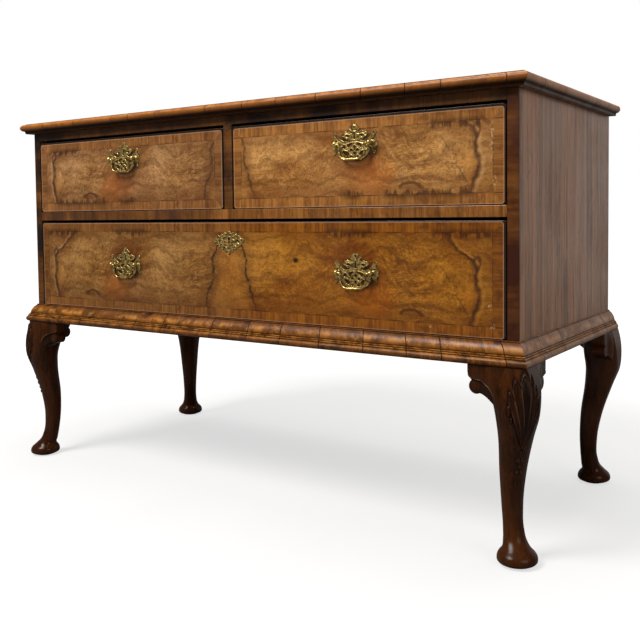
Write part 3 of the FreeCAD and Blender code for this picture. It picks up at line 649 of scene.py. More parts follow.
# Carcass sides of straight-grained walnut, glued up from upright boards and waxed, with open pores and
# warmer bands. They are rebated for the back boards and housed for the rails.
material, place = new_material("upright_walnut")
upright_grain, side_arris = (130.0, 130.0, 3.5), 0.0009
streak, pore, dull, speck = wood_marks(place, upright_grain)
band = place.vector("MULTIPLY", upright_grain).noise(0.16, 3.0, distortion=0.8)
wood = layered(
    blend(streak.fade(0.36, 0.64), (78, 49, 29), (150, 106, 70)),
    (band.rise(0.46, 0.66, 0.4), (162, 113, 78)),
    (pore * 0.55, (34, 17, 9)),
    (speck * 0.12, (170, 140, 110)),
)
rough = dull * 0.12 + pore * 0.15 + 0.3
upright_walnut = finish_material(material, wood, rough, streak - pore, bump=0.00025, gloss=0.4)
finish_nodes(["side_panel_left", "side_panel_right"], upright_walnut, side_arris)


# The rails and the facings on the front edges of the carcass: walnut with its grain across the member,
# glued on and darkened by polish and handling, most of all on the stiles. The top rail is darker still
# with painted shadow from the top's overhang.

# The band's stripes lie across it: their tone follows the place along the band, and dark runs reach inwards.
cross_band, (run, inset, width), sink = shader_group(
    "cross_band", {"Run": "Float", "Inset": "Float", "Width": "Float"},
    {"Color": "Color", "Mask": "Float", "Line": "Float", "Runs": "Float"}
)
spot = add(cross_band, "CombineXYZ", run, inset, 0.0)
streak, pore = use_group(fibre, spot, (260.0, 14.0, 1.0))
ragged = run.noise(70.0, 5.0, 0.72)
zone = run.noise(21.0, 2.0)
wood = layered(
    blend(streak.fade(0.33, 0.67), (90, 48, 14), (150, 96, 40)),
    (spot.noise(44.0, 5.0, distortion=0.6).rise(0.46, 0.72, 0.5), (70, 36, 10)),
    (zone.fall(0.34, 0.5, 0.25), (170, 112, 52)),
    (pore * 0.3, (34, 15, 5)),
)
past = inset - width
mask = ((ragged - 0.5) * 0.004 + past).fall(-0.0008, 0.0008)
seam = abs(past).fall(0.0003, 0.0012) * zone.fade(0.4, 0.6, 0.1, 0.75)
run_length = ragged.fade(0.36, 0.64, 0.001, 0.012)
fill_group(sink, wood, mask, seam, (past - run_length).fall(-0.005, 0.0015))


def faced(name, run_axis, tint, share, fall, mottle):
    """Stripes that follow the place along the member, under a mottled tint that may fall away to one end."""
    material, place = new_material(name)
    split = add(place.tree, "SeparateXYZ", place).outputs()
    run = split[run_axis]
    stripes = use_group(cross_band, run, split[2 - run_axis], 1.0)
    dull, speck = use_group(patina, place)
    depth = run.fade(-0.3, 0.3, share + fall - 0.12, share - fall - 0.12) + dull * 0.5
    depth = depth + (run.noise(24.0, 5.0, 0.65) - 0.5) * mottle
    wood = layered(stripes[0], (depth, tint), (speck * 0.1, (170, 130, 85)))
    return finish_material(material, wood, dull * 0.14 + 0.3, speck, bump=0.0001, gloss=0.25)


facing_arris = 0.0009
for node, *look in (
    ("middle_rail", 0, (66, 38, 18), 0.36, 0.28, 1.4),
    # The top rail's darker tint is painted shadow from the overhanging top
    ("top_rail", 0, (36, 17, 5), 0.68, 0.0, 0.4),
    ("stile_facing_left", 2, (26, 11, 3), 0.72, 0.0, 0.3),
    ("stile_facing_right", 2, (50, 15, 0), 0.74, 0.0, 0.4),
    ("centre_stile", 2, (28, 12, 4), 0.68, 0.0, 0.3),
):
    finish_nodes([node], faced("faced_" + node, *look), facing_arris)


# Drawer linings: oak sides and backs, dovetailed at the corners, and oak bottoms laid in grooves.
# The wood is unpolished, pale brown, with short rays across the grain.
def oak_lining(name, grain):
    """Quarter-sawn oak: fine streaks along the grain and pale ray flecks."""
    material, place = new_material(name)
    streak, pore, dull, speck = wood_marks(place, grain)
    fleck = place.vector("MULTIPLY", grain).noise(1.5, 1.0, distortion=1.6)
    wood = layered(
        blend(streak, (112, 76, 44), (178, 136, 90)),
        (fleck.rise(0.62, 0.7, 0.35), (196, 160, 116)),
        (pore * 0.6, (76, 48, 28)),
        (dull * 0.3, (104, 76, 52)),
    )
    return finish_material(material, wood, dull * 0.14 + speck * 0.1 + 0.6, streak, bump=0.0003, gloss=0.2)


oak_arris = 0.0004
for oak, parts in (
    (oak_lining("oak_deep", (80.0, 4.0, 80.0)), ("side_left", "side_right")),
    (oak_lining("oak_across", (4.0, 80.0, 80.0)), ("back", "bottom")),
):
    nodes = [drawer + "_drawer_" + part for drawer in ("left", "right", "long") for part in parts]
    finish_nodes(nodes, oak, oak_arris)


# Drawer fronts: pine faced with burr walnut, cut from leaves that lie in order in one log, so the figure is
# repeated from drawer to drawer and turned over to left and right. A cross-grain band frames each front.
leaf_length, leaf_width = 0.2, 0.6


def figure_curve(along, curve):
    """The place across the leaf of a line in its figure, from shares of the leaf's length and width."""
    line = add(along.tree, "FloatCurve", Value=along / leaf_length)
    mapping = line.socket.node.mapping
    points = mapping.curves[0].points
    points[0].location, points[-1].location = curve[0], curve[-1]
    for spot in curve[1:-1]:
        points.new(*spot)
    mapping.update()
    return line * leaf_width


def figure_line(across, centre, width):
    """One on a line in the figure, falling to nothing at its width."""
    return abs(across - centre).fall(0.0, width)


def long_side(first, second):
    """The long side of a right triangle."""
    return (first * first + second * second).calc("SQRT")


def oval(across, along, centre, radii):
    """Distance from a middle, in shares of two radii."""
    return long_side((across - centre[0]) / radii[0], (along - centre[1]) / radii[1])


leaf, (leaf_x, leaf_z, leaf_number), sink = shader_group(
    "burr_leaf", {"Across": "Float", "Along": "Float", "Leaf": "Float"},
    {"Color": "Color", "Dark": "Float", "Fibre": "Float"}
)
spot = add(leaf, "CombineXYZ", leaf_x, leaf_z, leaf_number * 0.02)
swirl = spot.noise(7.0, 2.0, 0.45, out=1).vector("SUBTRACT", (0.5, 0.5, 0.5))
flow = swirl.vector("MULTIPLY_ADD", (0.07, 0.07, 0.0), spot)
flow = flow.noise(38.0, 2.0, out=1).vector("MULTIPLY_ADD", (0.005, 0.005, 0.0), flow)
streak, pore = use_group(fibre, flow, (20.0, 120.0, 30.0))
cloud = flow.noise(13.0, 4.0, 0.55)
patch = spot.noise(6.0, 1.0)
deep = spot.vector("ADD", (0.7, 0.3, 0.0)).noise(7.0, 1.0)
ring = add(leaf, "TexWave", Vector=flow, Scale=9.0, Distortion=7.0, Detail=3.0, Detail_Scale=1.6,
           Detail_Roughness=0.6, bands_direction="Y", out=1)
eyes = add(leaf, "TexVoronoi", Vector=flow, Scale=85.0, Randomness=1.0)
crinkle = flow.noise(85.0, 4.0, 0.6, 1.6)
grit = flow.noise(330.0, 3.0, 0.7)
sheen = flow.vector("MULTIPLY", (9.0, 2.6, 1.0)).noise(1.9, 3.0)
scratch = flow.vector("MULTIPLY", (70.0, 260.0, 1.0)).noise(1.0, 3.0, 0.6, 0.8)
vary = spot.noise(75.0, 3.0)

# The leaf's own marks: a curved bark line with a burl, a finer line beside it, a crack, a twig and an eye.
wander = (spot.noise(34.0, 6.0, 0.62) - 0.5) * 0.026
across = leaf_x + wander
along = leaf_z + wander * 0.4
bark = figure_curve(along, [
    (0.0, 0.833), (0.11, 0.843), (0.22, 0.855), (0.33, 0.862), (0.45, 0.857), (0.55, 0.857), (0.61, 0.845),
    (0.68, 0.812), (0.74, 0.785), (1.0, 0.77)])
beside = figure_curve(along, [
    (0.0, 0.842), (0.16, 0.832), (0.31, 0.81), (0.45, 0.78), (0.6, 0.742), (1.0, 0.68)])
split_line = figure_curve(along, [
    (0.0, 0.122), (0.14, 0.103), (0.26, 0.087), (0.38, 0.075), (0.48, 0.072), (0.6, 0.07), (0.7, 0.05),
    (1.0, 0.035)])
twig_line = figure_curve(along, [(0.0, 0.215), (0.12, 0.225), (0.2, 0.24), (0.28, 0.275), (1.0, 0.30)])
outer = figure_line(across, bark, 0.0062) * vary.fade(0.3, 0.6, 0.45, 0.9)
inner = figure_line(across, beside, 0.0026) * vary.fade(0.35, 0.6, 0.1, 0.5)
crack = figure_line(across, split_line, 0.0048) * vary.fade(0.36, 0.55, 0.3, 0.95)
twig = figure_line(across, twig_line, 0.0022) * along.fall(0.045, 0.06, 0.5)
burl = oval(across, along, (0.515, 0.118), (0.0085, 0.0115))
burl_rim = abs(burl - 0.75).fall(0.1, 0.5, 0.75)
dark = outer.most(inner).most(crack).most(twig).most(burl_rim)
shade = figure_line(across, bark, 0.019).most(figure_line(across, split_line, 0.03)) * 0.45
gleam = figure_line(across - 0.0085, bark, 0.006)
gold = (across - beside).fade(0.0, 0.008) * (bark - across).fade(0.0, 0.008)
gold = gold * along.fall(0.05, 0.11, 0.26)
gold = gold.most((split_line - across).rise(0.006, 0.026, 0.22))
eye = oval(across, along, (0.395, 0.026), (0.023, 0.014))
eye_rim = abs(eye - 0.86).fall(0.06, 0.3)
eye_mark = eye_rim.most(eye.fall(0.5, 1.1, 0.5)) * along.rise(0.024, 0.03, 0.85)
smudge = oval(across, along, (0.285, 0.02), (0.05, 0.024)).fall(0.2, 1.0, 0.65) * cloud.fade(0.4, 0.6)
flame = oval(across, along, (0.315, 0.05), (0.085, 0.06)).fall(0.1, 1.0, 0.46)
curl_place = oval(across, along, (0.36, 0.11), (0.09, 0.07)).fall(0.3, 1.0, 0.3)
curl = add(leaf, "TexWave", Vector=flow, Scale=42.0, Distortion=9.0, Detail=2.0,
           bands_direction="DIAGONAL", out=1)
wood = layered(
    blend(streak.fade(0.34, 0.66), (100, 58, 18), (178, 123, 58)),
    (cloud.rise(0.46, 0.7, 0.18), (96, 52, 14)),
    (patch.rise(0.4, 0.62, 0.55), (200, 146, 80)),
    (deep.rise(0.46, 0.64, 0.52), (108, 56, 15)),
    (sheen.rise(0.54, 0.74, 0.14), (84, 45, 12)),
    (sheen.fall(0.28, 0.48, 0.2), (196, 146, 82)),
    (crinkle.rise(0.5, 0.68, 0.3), (78, 42, 11)),
    (crinkle.fall(0.32, 0.48, 0.24), (210, 162, 95)),
    (grit.rise(0.48, 0.7, 0.56), (72, 38, 10)),
    (scratch.rise(0.56, 0.68, 0.4), (72, 38, 10)),
    (flame * sheen.fade(0.4, 0.56, 0.35, 1.0), (170, 92, 30)),
    (ring.rise(0.74, 1.0, 0.36), (74, 39, 11)),
    (eyes.fall(0.1, 0.3, 0.25), (66, 34, 10)),
    (pore * 0.3, (58, 30, 9)),
    (curl.fade(0.5, 1.0) * curl_place, (74, 38, 11)),
    (gold, (186, 122, 48)),
    (shade, (78, 41, 12)),
    (gleam * 0.3, (212, 162, 104)),
    (eye_mark, (52, 23, 6)),
    (smudge, (46, 21, 6)),
    (dark, (42, 19, 5)),
)
fill_group(sink, wood, dark, streak)

end_band, edge_band, run_fade, knot_radii = 0.0185, 0.018, 0.012, (0.0075, 0.0055)


def veneered(name, axes, middle, half, low, high, face, corner, tones,
             stains_and_shadows=(), runs=(), scuffs=(), knot=None):
    """Burr veneer in a cross-grain frame on a pine core: the leaf turns over at the chest's middle, and the
    frame follows the edges. Just inside them a pale line is a painted highlight, and outside its rounded
    corners the front is painted near black as the gap's shadow. Stains are the marks of older handles and
    the dirt and painted shadow round the brasses, runs are stretches of the frame with dark edges, and
    scuffs are pale knocks."""
    material, place = new_material(name)
    split = add(place.tree, "SeparateXYZ", place).outputs()
    first, second, third = (split[axis] for axis in axes)
    across = abs(first)
    along = second - low
    wood, dark, leaf_fibre = use_group(leaf, across, along, first.calc("SIGN"))
    end_gap = half - abs(first - middle)
    edge_gap = along.least(high - second)
    ends = use_group(cross_band, second, end_gap, end_band)
    edges = use_group(cross_band, first, edge_gap, edge_band)
    dull, speck = use_group(patina, place)
    halo = place.noise(45.0, 3.0)
    wood = blend(end_gap.least(edge_gap).fall(0.018, 0.06, 0.5), wood, (92, 50, 15))
    # Stains of older handles, and dirt with painted shadow round the brasses
    for spot, radii, depth, tone in stains_and_shadows:
        reach = halo * 0.5 + oval(first, second, spot, radii)
        wood = blend(reach.fall(0.85, 1.35, depth), wood, tone)
    if knot:
        reach = halo * 0.6 + oval(first, second, knot, knot_radii)
        wood = blend(reach.fall(0.7, 1.5, 0.95), wood, (26, 12, 6))
    band = blend(end_gap.calc("LESS_THAN", edge_gap), edges[0], blend(0.3, ends[0], (64, 34, 10)))
    wood = layered(wood, (ends[1].most(edges[1]), band), (ends[2].most(edges[2]), (34, 15, 5)))
    for upper, start, stop in runs:
        window = across.fade(start - run_fade, start + run_fade)
        window = window * across.fall(stop - run_fade, stop + run_fade)
        there = along.calc("GREATER_THAN" if upper else "LESS_THAN", (high - low) / 2)
        run = window * there * edges[3] * edge_gap.fade(0.008, 0.018, 0.2, 0.72)
        wood = blend(run, wood, (50, 24, 6))
    wood = blend(1.0, wood, blend(first.fade(-0.15, 0.15), *tones), "MULTIPLY")
    chips = place.noise(270.0, 2.0).rise(0.46, 0.7, 0.5)
    for spot, radii in scuffs:
        reach = halo * 0.8 + oval(first, second, spot, radii)
        wood = blend(chips * reach.fall(0.7, 1.4), wood, (206, 168, 124))
    within = corner - long_side((corner - end_gap).most(0.0), (corner - edge_gap).most(0.0))
    streak = use_group(fibre, place, (5.0, 70.0, 70.0))[0]
    wood = layered(
        wood,
        # A pale line just inside the edges is a painted highlight; outside the corners the gap's shadow is
        # painted near black
        (within.fall(0.0004, 0.0022, 0.4), (186, 146, 118)),
        (within.fall(-0.0004, 0.0003, 0.96), (12, 7, 4)),
        (abs(third - face).fade(0.0016, 0.0022), blend(streak, (74, 46, 26), (136, 96, 58))),
        (speck * 0.12, (190, 150, 95)),
    )
    rough = dull * 0.13 + dark * 0.15 + 0.3
    return finish_material(material, wood, rough, leaf_fibre - dark * 0.6, bump=0.0002, gloss=0.25)


pull_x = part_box("pull_plate_right")[0].x / 2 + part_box("pull_plate_right")[1].x / 2
pull_z = {drawer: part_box("pull_posts_" + drawer)[0].z / 2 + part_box("pull_posts_" + drawer)[1].z / 2
          for drawer in ("left", "right", "long")}
front_corner, front_arris = 0.005, 0.0014

# Stains have radii, depth and tone; runs are on the upper edge or not, between two distances from the
# middle; scuffs have a place and radii; gap shades are the widths along a front's ends and upper edge
# that are painted near black as the shadow in the gap round the drawer.
# Dirt round each pull together with the painted shadow of its plate and bail, shifted down and to the right
grime_and_shadow = ((0.050, 0.034), 0.85, (26, 12, 4))
shadow_shift, shadow_drop = 0.003, 0.006
upper_mark = ((0.050, 0.026), 0.45, (86, 36, 8))
lower_mark = ((0.052, 0.032), 0.55, (86, 36, 8))
upper_runs = [(True, 0.431, 0.531), (False, 0.262, 0.30), (False, 0.345, 0.51)]
lower_runs = [(True, 0.225, 0.325), (True, 0.437, 0.544)]
upper_scuffs = [((0.541, 0.668), (0.006, 0.042)), ((0.546, 0.600), (0.004, 0.02))]
long_scuffs = [((0.435, 0.366), (0.007, 0.004)), ((0.541, 0.372), (0.006, 0.009)),
               ((0.537, 0.405), (0.004, 0.012))]
# Widths along each front's ends and upper edge that are painted near black as shadow in the gaps
upper_gap_shade, long_gap_shade = (0.0025, 0.0042), (0.0035, 0.0015)
upper_mark_z, lower_mark_z, long_knot = 0.632, 0.478, (0.159, 0.469)
for drawer, places, tones, gap_shade, mark, mark_z, runs, scuffs, knot in (
    ("left", [-pull_x], [(0.94, 1.02, 1.5, 1)] * 2, upper_gap_shade, upper_mark, upper_mark_z, upper_runs,
     [], None),
    ("right", [pull_x], [(1.25, 1.33, 1.54, 1)] * 2, upper_gap_shade, upper_mark, upper_mark_z, upper_runs,
     upper_scuffs, None),
    ("long", [-pull_x, pull_x], [(0.79, 0.82, 0.9, 1), (0.92, 0.77, 0.28, 1)], long_gap_shade, lower_mark,
     lower_mark_z, lower_runs, long_scuffs, long_knot),
):
    low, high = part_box(drawer + "_drawer_front")
    stains_and_shadows = [((x, mark_z), *mark) for x in places]
    stains_and_shadows += [((x + shadow_shift, pull_z[drawer] - shadow_drop), *grime_and_shadow) for x in places]
    middle, half = (low.x + high.x) / 2, (high.x - low.x) / 2
    front = veneered("burr_" + drawer, (0, 2, 1), middle, half - gap_shade[0], low.z, high.z - gap_shade[1], low.y,
                     front_corner, tones, stains_and_shadows, runs, scuffs, knot)
    finish_nodes([drawer + "_drawer_front"], front, front_arris)


# The top is a pine board under walnut veneer: two leaves turned over to meet in the middle, in a cross-grain
# frame. It lies on the carcass inside the edge mouldings.
low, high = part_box("top_board")
top_corner, top_arris, top_tone = 0.003, 0.0004, (0.9, 0.85, 0.8, 1)
burr_top = veneered("burr_top", (0, 1, 2), 0.0, high.x, low.y, high.y, high.z, top_corner, [top_tone] * 2)
finish_nodes(["top_board"], burr_top, top_arris)


# Pull plates: brass cast thin and filed to a bat-wing outline, pierced and bevelled, and now tarnished.
# Each is held to the drawer front by the two posts of its bail.
material, place = new_material("aged_brass")
hollow = add(place.tree, "Attribute", attribute_name="hollow", out=2)
speck = use_group(patina, place)[1]
tarnish = place.noise(150.0, 5.0, 0.65)
metal = layered(
    blend(tarnish.fade(0.4, 0.62), (216, 182, 108), (102, 82, 38)),
    (hollow * 0.97, (22, 16, 5)),
    (speck * 0.35, (70, 62, 36)),
)
rough = hollow * 0.25 + tarnish * 0.2 + 0.2
aged_brass = finish_material(material, metal, rough, tarnish, bump=0.00012, metallic=0.82)


def disc(x, z, middle, radius):
    """Signed distance to a disc, below nought inside."""
    return np.hypot(x - middle[0], z - middle[1]) - radius


def bar(x, z, start, end, first, last):
    """Signed distance to a round-ended bar whose radius changes from first to last."""
    dx, dz = end[0] - start[0], end[1] - start[1]
    share = np.clip(((x - start[0]) * dx + (z - start[1]) * dz) / (dx * dx + dz * dz), 0, 1)
    away = np.hypot(x - start[0] - share * dx, z - start[1] - share * dz)
    return away - first - (last - first) * share


def diamond(x, z, middle, half, rise):
    """Signed distance to a lozenge, near enough for an edge."""
    reach = np.abs(x - middle[0]) / half + np.abs(z - middle[1]) / rise - 1
    return reach * half * rise / math.hypot(half, rise)


def merge(*fields, blend_width=0.0012):
    """Shapes joined with small fillets between them."""
    result = fields[0]
    for field in fields[1:]:
        share = np.clip(0.5 + 0.5 * (field - result) / blend_width, 0, 1)
        result = field * (1 - share) + result * share - blend_width * share * (1 - share)
    return result


# The strands of one half of a plate: the radii at the ends of each bar, and the points that its bars join
wing_strands = (
    ((0.0024, 0.0025), (0.0036, 0.0225), (0.0040, 0.0085)),
    ((0.0034, 0.0034), (0.0, 0.0050), (0.0090, 0.0052)),
    ((0.0029, 0.0028), (0.0044, 0.0194), (0.0100, 0.0184), (0.0170, 0.0194), (0.0222, 0.0178)),
    ((0.0040, 0.0040), (0.0222, 0.0168), (0.0226, 0.0164)),
    ((0.0020, 0.0020), (0.0210, 0.0140), (0.0155, 0.0104), (0.0092, 0.0124)),
    ((0.0026, 0.0028), (0.0086, 0.0150), (0.0096, 0.0060)),
    ((0.0033, 0.0031), (0.0094, 0.0046), (0.0170, 0.0022), (0.0240, 0.0026), (0.0305, 0.0070)),
    ((0.0032, 0.0037), (0.0305, 0.0070), (0.0362, 0.0118), (0.0404, 0.0182)),
    ((0.0023, 0.0023), (0.0388, 0.0112), (0.0434, 0.0030), (0.0434, -0.0034), (0.0390, -0.0093)),
    ((0.0062, 0.0062), (0.0348, 0.0), (0.0352, 0.0)),
    ((0.0042, 0.0034), (0.0330, -0.0005), (0.0255, -0.0010)),
    ((0.0032, 0.0026), (0.0350, -0.0040), (0.0384, -0.0096), (0.0402, -0.0158)),
    ((0.0030, 0.0029), (0.0290, -0.0030), (0.0268, -0.0130), (0.0220, -0.0198), (0.0130, -0.0248),
     (0.0, -0.0259)),
    ((0.0025, 0.0025), (0.0, 0.0012), (0.0138, -0.0100), (0.0, -0.0215)),
    ((0.0022, 0.0022), (0.0069, -0.0046), (0.0, -0.0102), (0.0069, -0.0158)),
    ((0.0024, 0.0024), (0.0138, -0.0100), (0.0268, -0.0085)),
    ((0.0021, 0.0021), (0.0132, -0.0090), (0.0200, 0.0022)),
    ((0.0028, 0.0028), (0.0, -0.0215), (0.0, -0.0250)),
    ((0.0024, 0.0024), (0.0070, -0.0162), (0.0146, -0.0236)),
)


def bat_wing(x, z):
    """Distance to the edge of a pull plate about the line of its posts: a pointed finial on a slit neck,
    scrolled shoulders, raised wings with an eye round each post, barbs, a lattice and a rounded apron."""
    x = np.abs(x)
    strands = [np.maximum(diamond(x, z, (0, 0.0268), 0.0132, 0.0109), 0.0209 - z)]
    for radii, *line in wing_strands:
        strands += [bar(x, z, start, end, *radii) for start, end in zip(line, line[1:])]
    return np.maximum(merge(*strands), -disc(x, z, (0, 0.0288), 0.0021))


def pierced_plate(field, half_width, fall, rise):
    """A plate from its distance field on a square grid: cells inside are kept, points on the kept edge are
    drawn onto the outline, and the face rises from the edge in a bevel to a rim and slopes to the middle.
    Gives X, lift, Z and hollowness of its points, and the cells of its face and back."""
    step, probe, bevel_width = 0.0005, 1e-5, 0.0009
    x, z = np.meshgrid(np.arange(-half_width, half_width + step, step), np.arange(-fall, rise + step, step))
    outside = field(x, z) > 0.35 * step
    kept = ~(outside[:-1, :-1] | outside[:-1, 1:] | outside[1:, 1:] | outside[1:, :-1])
    count = np.zeros(x.shape, dtype=int)
    for rows in (slice(None, -1), slice(1, None)):
        for columns in (slice(None, -1), slice(1, None)):
            count[rows, columns] += kept
    edge = (count > 0) & (count < 4)
    for _ in range(3):
        here = field(x, z)
        slope_x = (field(x + probe, z) - field(x - probe, z)) / (2 * probe)
        slope_z = (field(x, z + probe) - field(x, z - probe)) / (2 * probe)
        square = np.maximum(slope_x ** 2 + slope_z ** 2, 0.2)
        x = x - np.where(edge, here * slope_x / square, 0)
        z = z - np.where(edge, here * slope_z / square, 0)
    inside = np.where(edge, 0, np.maximum(-field(x, z), 0))
    bevel = np.clip(inside / bevel_width, 0, 1)
    lift = plate_thick * np.sqrt(1 - (1 - bevel) ** 2) * (1 - 0.28 * step_between(0.0013, 0.0024, inside))
    hollow = 0.25 * step_between(0.0011, 0.0022, inside) + 0.85 * step_between(0.0007, 0.0, inside)
    cells = grid_faces(*x.shape, around=False)[kept.ravel()]
    used, numbers = np.unique(cells, return_inverse=True)
    cells = numbers.reshape(-1, 4)
    flat = [array.ravel()[used] for array in (x, lift, z, hollow)]
    return (*flat, np.concatenate([cells, cells[:, ::-1] + len(used)]))


def fix_plates(name, plate, middles, body, node):
    """Plates about their middles as one piece: a face, and a flat back against the drawer front."""
    x, lift, z, hollow, cells = plate
    sheets = []
    for middle in middles:
        for y in (front_y - lift, np.full_like(x, front_y)):
            sheets.append(np.stack([middle[0] + x, y, middle[1] + z], axis=-1))
    faces = np.concatenate([cells + 2 * len(x) * k for k in range(len(middles))])
    make_piece(name, np.concatenate(sheets), faces, body, "aged_brass", aged_brass, node,
               hollow=np.tile(hollow, len(sheets)))


plate_thick = front_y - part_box("pull_plate_left")[0].y
wing_half, wing_fall, wing_rise = 0.0465, 0.0295, 0.0385
wing = pierced_plate(bat_wing, wing_half, wing_fall, wing_rise)
pulls = {"left": [-pull_x], "right": [pull_x], "long": [-pull_x, pull_x]}
for drawer, places in pulls.items():
    fix_plates("bat_wing_" + drawer, wing, [(x, pull_z[drawer]) for x in places], drawer + "_drawer",
               "pull_plate_" + drawer)


# Turned brass posts, two to a pull: a round head bored for the bail, a waisted neck and a rod through the
# drawer front, drawn tight inside the drawer by a square nut on a screwed end.
post_half, stand_off, head_radius, rod_radius = 0.035, 0.0095, 0.005, 0.0025
thread_count, thread_depth = 33, 0.0003
nut_radius, nut_thick, nut_chamfer, nut_twist = 0.0062, 0.003, 0.0006, 0.2
post_seat = front_y - plate_thick
front_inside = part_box("left_drawer_front")[1].y
rod_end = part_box("pull_posts_left")[1].y
turn = np.linspace(0, 2 * math.pi, 28, endpoint=False)


def turned(profile, x, z, angles=turn):
    """A turned piece about a line along Y, from a profile of (radius, y)."""
    radius, y = (np.asarray(profile)[:, k][:, None] for k in (0, 1))
    return np.stack([x + radius * np.cos(angles), y + 0 * angles, z + radius * np.sin(angles)], axis=-1)


ball = np.radians(np.linspace(-62, 90, 16))
knob_y = post_seat - stand_off - 0.72 * head_radius * np.sin(ball)
knob = np.stack([head_radius * np.cos(ball), knob_y], axis=-1)
thread = np.linspace(front_inside, rod_end - 0.0004, thread_count)
screw = np.stack([rod_radius - thread_depth * (np.arange(thread_count) % 2), thread], axis=-1)
collar = [(share * head_radius, post_seat - out) for share, out in
          ((0.9, 0.0), (0.92, 0.0008), (0.74, 0.0014), (0.62, 0.0028), (0.60, 0.0040))]
post_profile = np.concatenate([
    [(0, rod_end), (rod_radius - 0.0007, rod_end)], screw[::-1],
    [(rod_radius, front_y), (rod_radius, post_seat)], collar, knob,
])
post_hollow = np.repeat(bump_at(post_profile[:, 1], post_seat - 0.0026, 0.0016), len(turn))
nut_side = np.radians([45, 135, 225, 315]) + nut_twist
nut_bore = rod_radius - 0.0004
nut_profile = [(radius, front_inside + deep) for radius, deep in (
    (nut_bore, 0.0), (nut_radius, 0.0), (nut_radius, nut_thick - nut_chamfer), (0.0054, nut_thick),
    (nut_bore, nut_thick), (nut_bore, 0.0))]
for drawer, places in pulls.items():
    spots = [x + side * post_half for x in places for side in (-1, 1)]
    posts = joined([turned(post_profile, x, pull_z[drawer]) for x in spots])
    make_piece("turned_posts_" + drawer, *posts, drawer + "_drawer", "aged_brass", aged_brass,
               "pull_posts_" + drawer, hollow=np.tile(post_hollow, len(spots)))
    nuts = joined([turned(nut_profile, x, pull_z[drawer], nut_side) for x in spots])
    make_piece("post_nuts_" + drawer, *nuts, drawer + "_drawer", "aged_brass", aged_brass,
               hollow=np.full(len(nuts[0]), 0.4), sharp=20)


# Bails: cast brass drop handles, bent to a U with a grip that swells to its middle.
# A pin at each end turns in the head of a post.
bail_y = post_seat - stand_off
bail_half, bail_drop, neck_radius, corner_radius = 0.0265, 0.0265, 0.003, 0.015
pin_radius, grip_radius, ring_height = 0.0018, 0.0021, 0.00035
bend = np.linspace(0, 0.5 * math.pi, 14)
pin_tip = post_half + 0.004
neck = bail_half + neck_radius
bow = corner_radius - bail_drop
half_path = np.concatenate([np.stack(stretch, axis=-1) for stretch in (
    (np.linspace(pin_tip, neck, 6)[:-1], np.zeros(5)),
    (neck - neck_radius * np.sin(bend), -neck_radius * (1 - np.cos(bend))),
    (np.full(6, bail_half), np.linspace(-neck_radius, bow, 8)[1:-1]),
    (bail_half - corner_radius * (1 - np.cos(bend)), bow - corner_radius * np.sin(bend)),
    (np.linspace(bail_half - corner_radius, 0, 12)[1:], np.full(11, -bail_drop)),
)])
path = np.concatenate([half_path, half_path[-2::-1] * (-1, 1)])
tangent = np.gradient(path, axis=0)
tangent = tangent / np.hypot(*tangent.T)[:, None]
travel = np.concatenate([[0], np.cumsum(np.hypot(*np.diff(path, axis=0).T))])
middle_share = 1 - np.abs(2 * travel / travel[-1] - 1)
ring_at = bump_at(middle_share, 0.62, 0.012)
rod = pin_radius + (grip_radius - pin_radius) * step_between(0.55, 1.0, middle_share) + ring_height * ring_at
rod = np.pad(rod, 1)[:, None]
tarnished = np.repeat(np.pad(0.5 * ring_at + 0.25 * step_between(0.5, 0.2, middle_share), 1), len(turn))
path, tangent = (np.pad(array, ((1, 1), (0, 0)), mode="edge") for array in (path, tangent))
swing = rod * np.cos(turn)
for name, x, z in (("left", -pull_x, pull_z["left"]), ("right", pull_x, pull_z["right"]),
                   ("long_left", -pull_x, pull_z["long"]), ("long_right", pull_x, pull_z["long"])):
    points = np.stack([x + path[:, :1] - tangent[:, 1:] * swing, bail_y + rod * np.sin(turn),
                       z + path[:, 1:] + tangent[:, :1] * swing], axis=-1)
    make_piece("drop_bail_" + name, points, grid_faces(len(path), len(turn)), name + "_bail", "aged_brass",
               aged_brass, "bail_" + name, hollow=tarnished, sharp=60)


# The lock of the long drawer: a pierced escutcheon on the face, a brass box let into the back of the front,
# and a bolt that a key throws up into the rail.
key_middle, key_half, key_fall, key_rise = 0.017, 0.0392, 0.0302, 0.0175
case_arris, bolt_arris = 0.0004, 0.0003
key_lobes = (
    ((0.0095, 0.0082), 0.0042), ((0.0175, 0.0052), 0.0042), ((0.0255, 0.0030), 0.0038),
    ((0.0290, -0.0090), 0.0036), ((0.0225, -0.0120), 0.0042), ((0.0155, -0.0165), 0.0042),
    ((0.0082, -0.0212), 0.0042), ((0.0, -0.0255), 0.0046),
)
key_slots = (
    ((0.0, 0.0), (0.0, -0.0080), 0.0016), ((0.0, 0.0), (0.0, 0.0002), 0.0028),
    ((0.0085, 0.0020), (0.0150, -0.0005), 0.0015), ((0.0060, -0.0080), (0.0115, -0.0060), 0.0014),
    ((0.0050, -0.0140), (0.0095, -0.0125), 0.0014), ((0.0205, -0.0035), (0.0255, -0.0045), 0.0015),
    ((0.0, -0.0190), (0.0, -0.0205), 0.0014), ((0.0320, -0.0032), (0.0326, -0.0032), 0.0013),
)


def key_plate(x, z):
    """Distance to the edge of the escutcheon about its keyhole: a lozenge with a small peak, an arm to each
    side and lobes round its edge, pierced by the keyhole and by short slots."""
    x = np.abs(x)
    solid = merge(
        diamond(x, z, (0, -0.0045), 0.0265, 0.0205),
        diamond(x, z, (0, 0.0122), 0.0062, 0.0048),
        bar(x, z, (0.0220, -0.0025), (0.0345, -0.0030), 0.0052, 0.0040),
        *(disc(x, z, middle, radius) for middle, radius in key_lobes),
    )
    for start, end, radius in key_slots:
        solid = np.maximum(solid, -bar(x, z, start, end, radius, radius))
    return solid


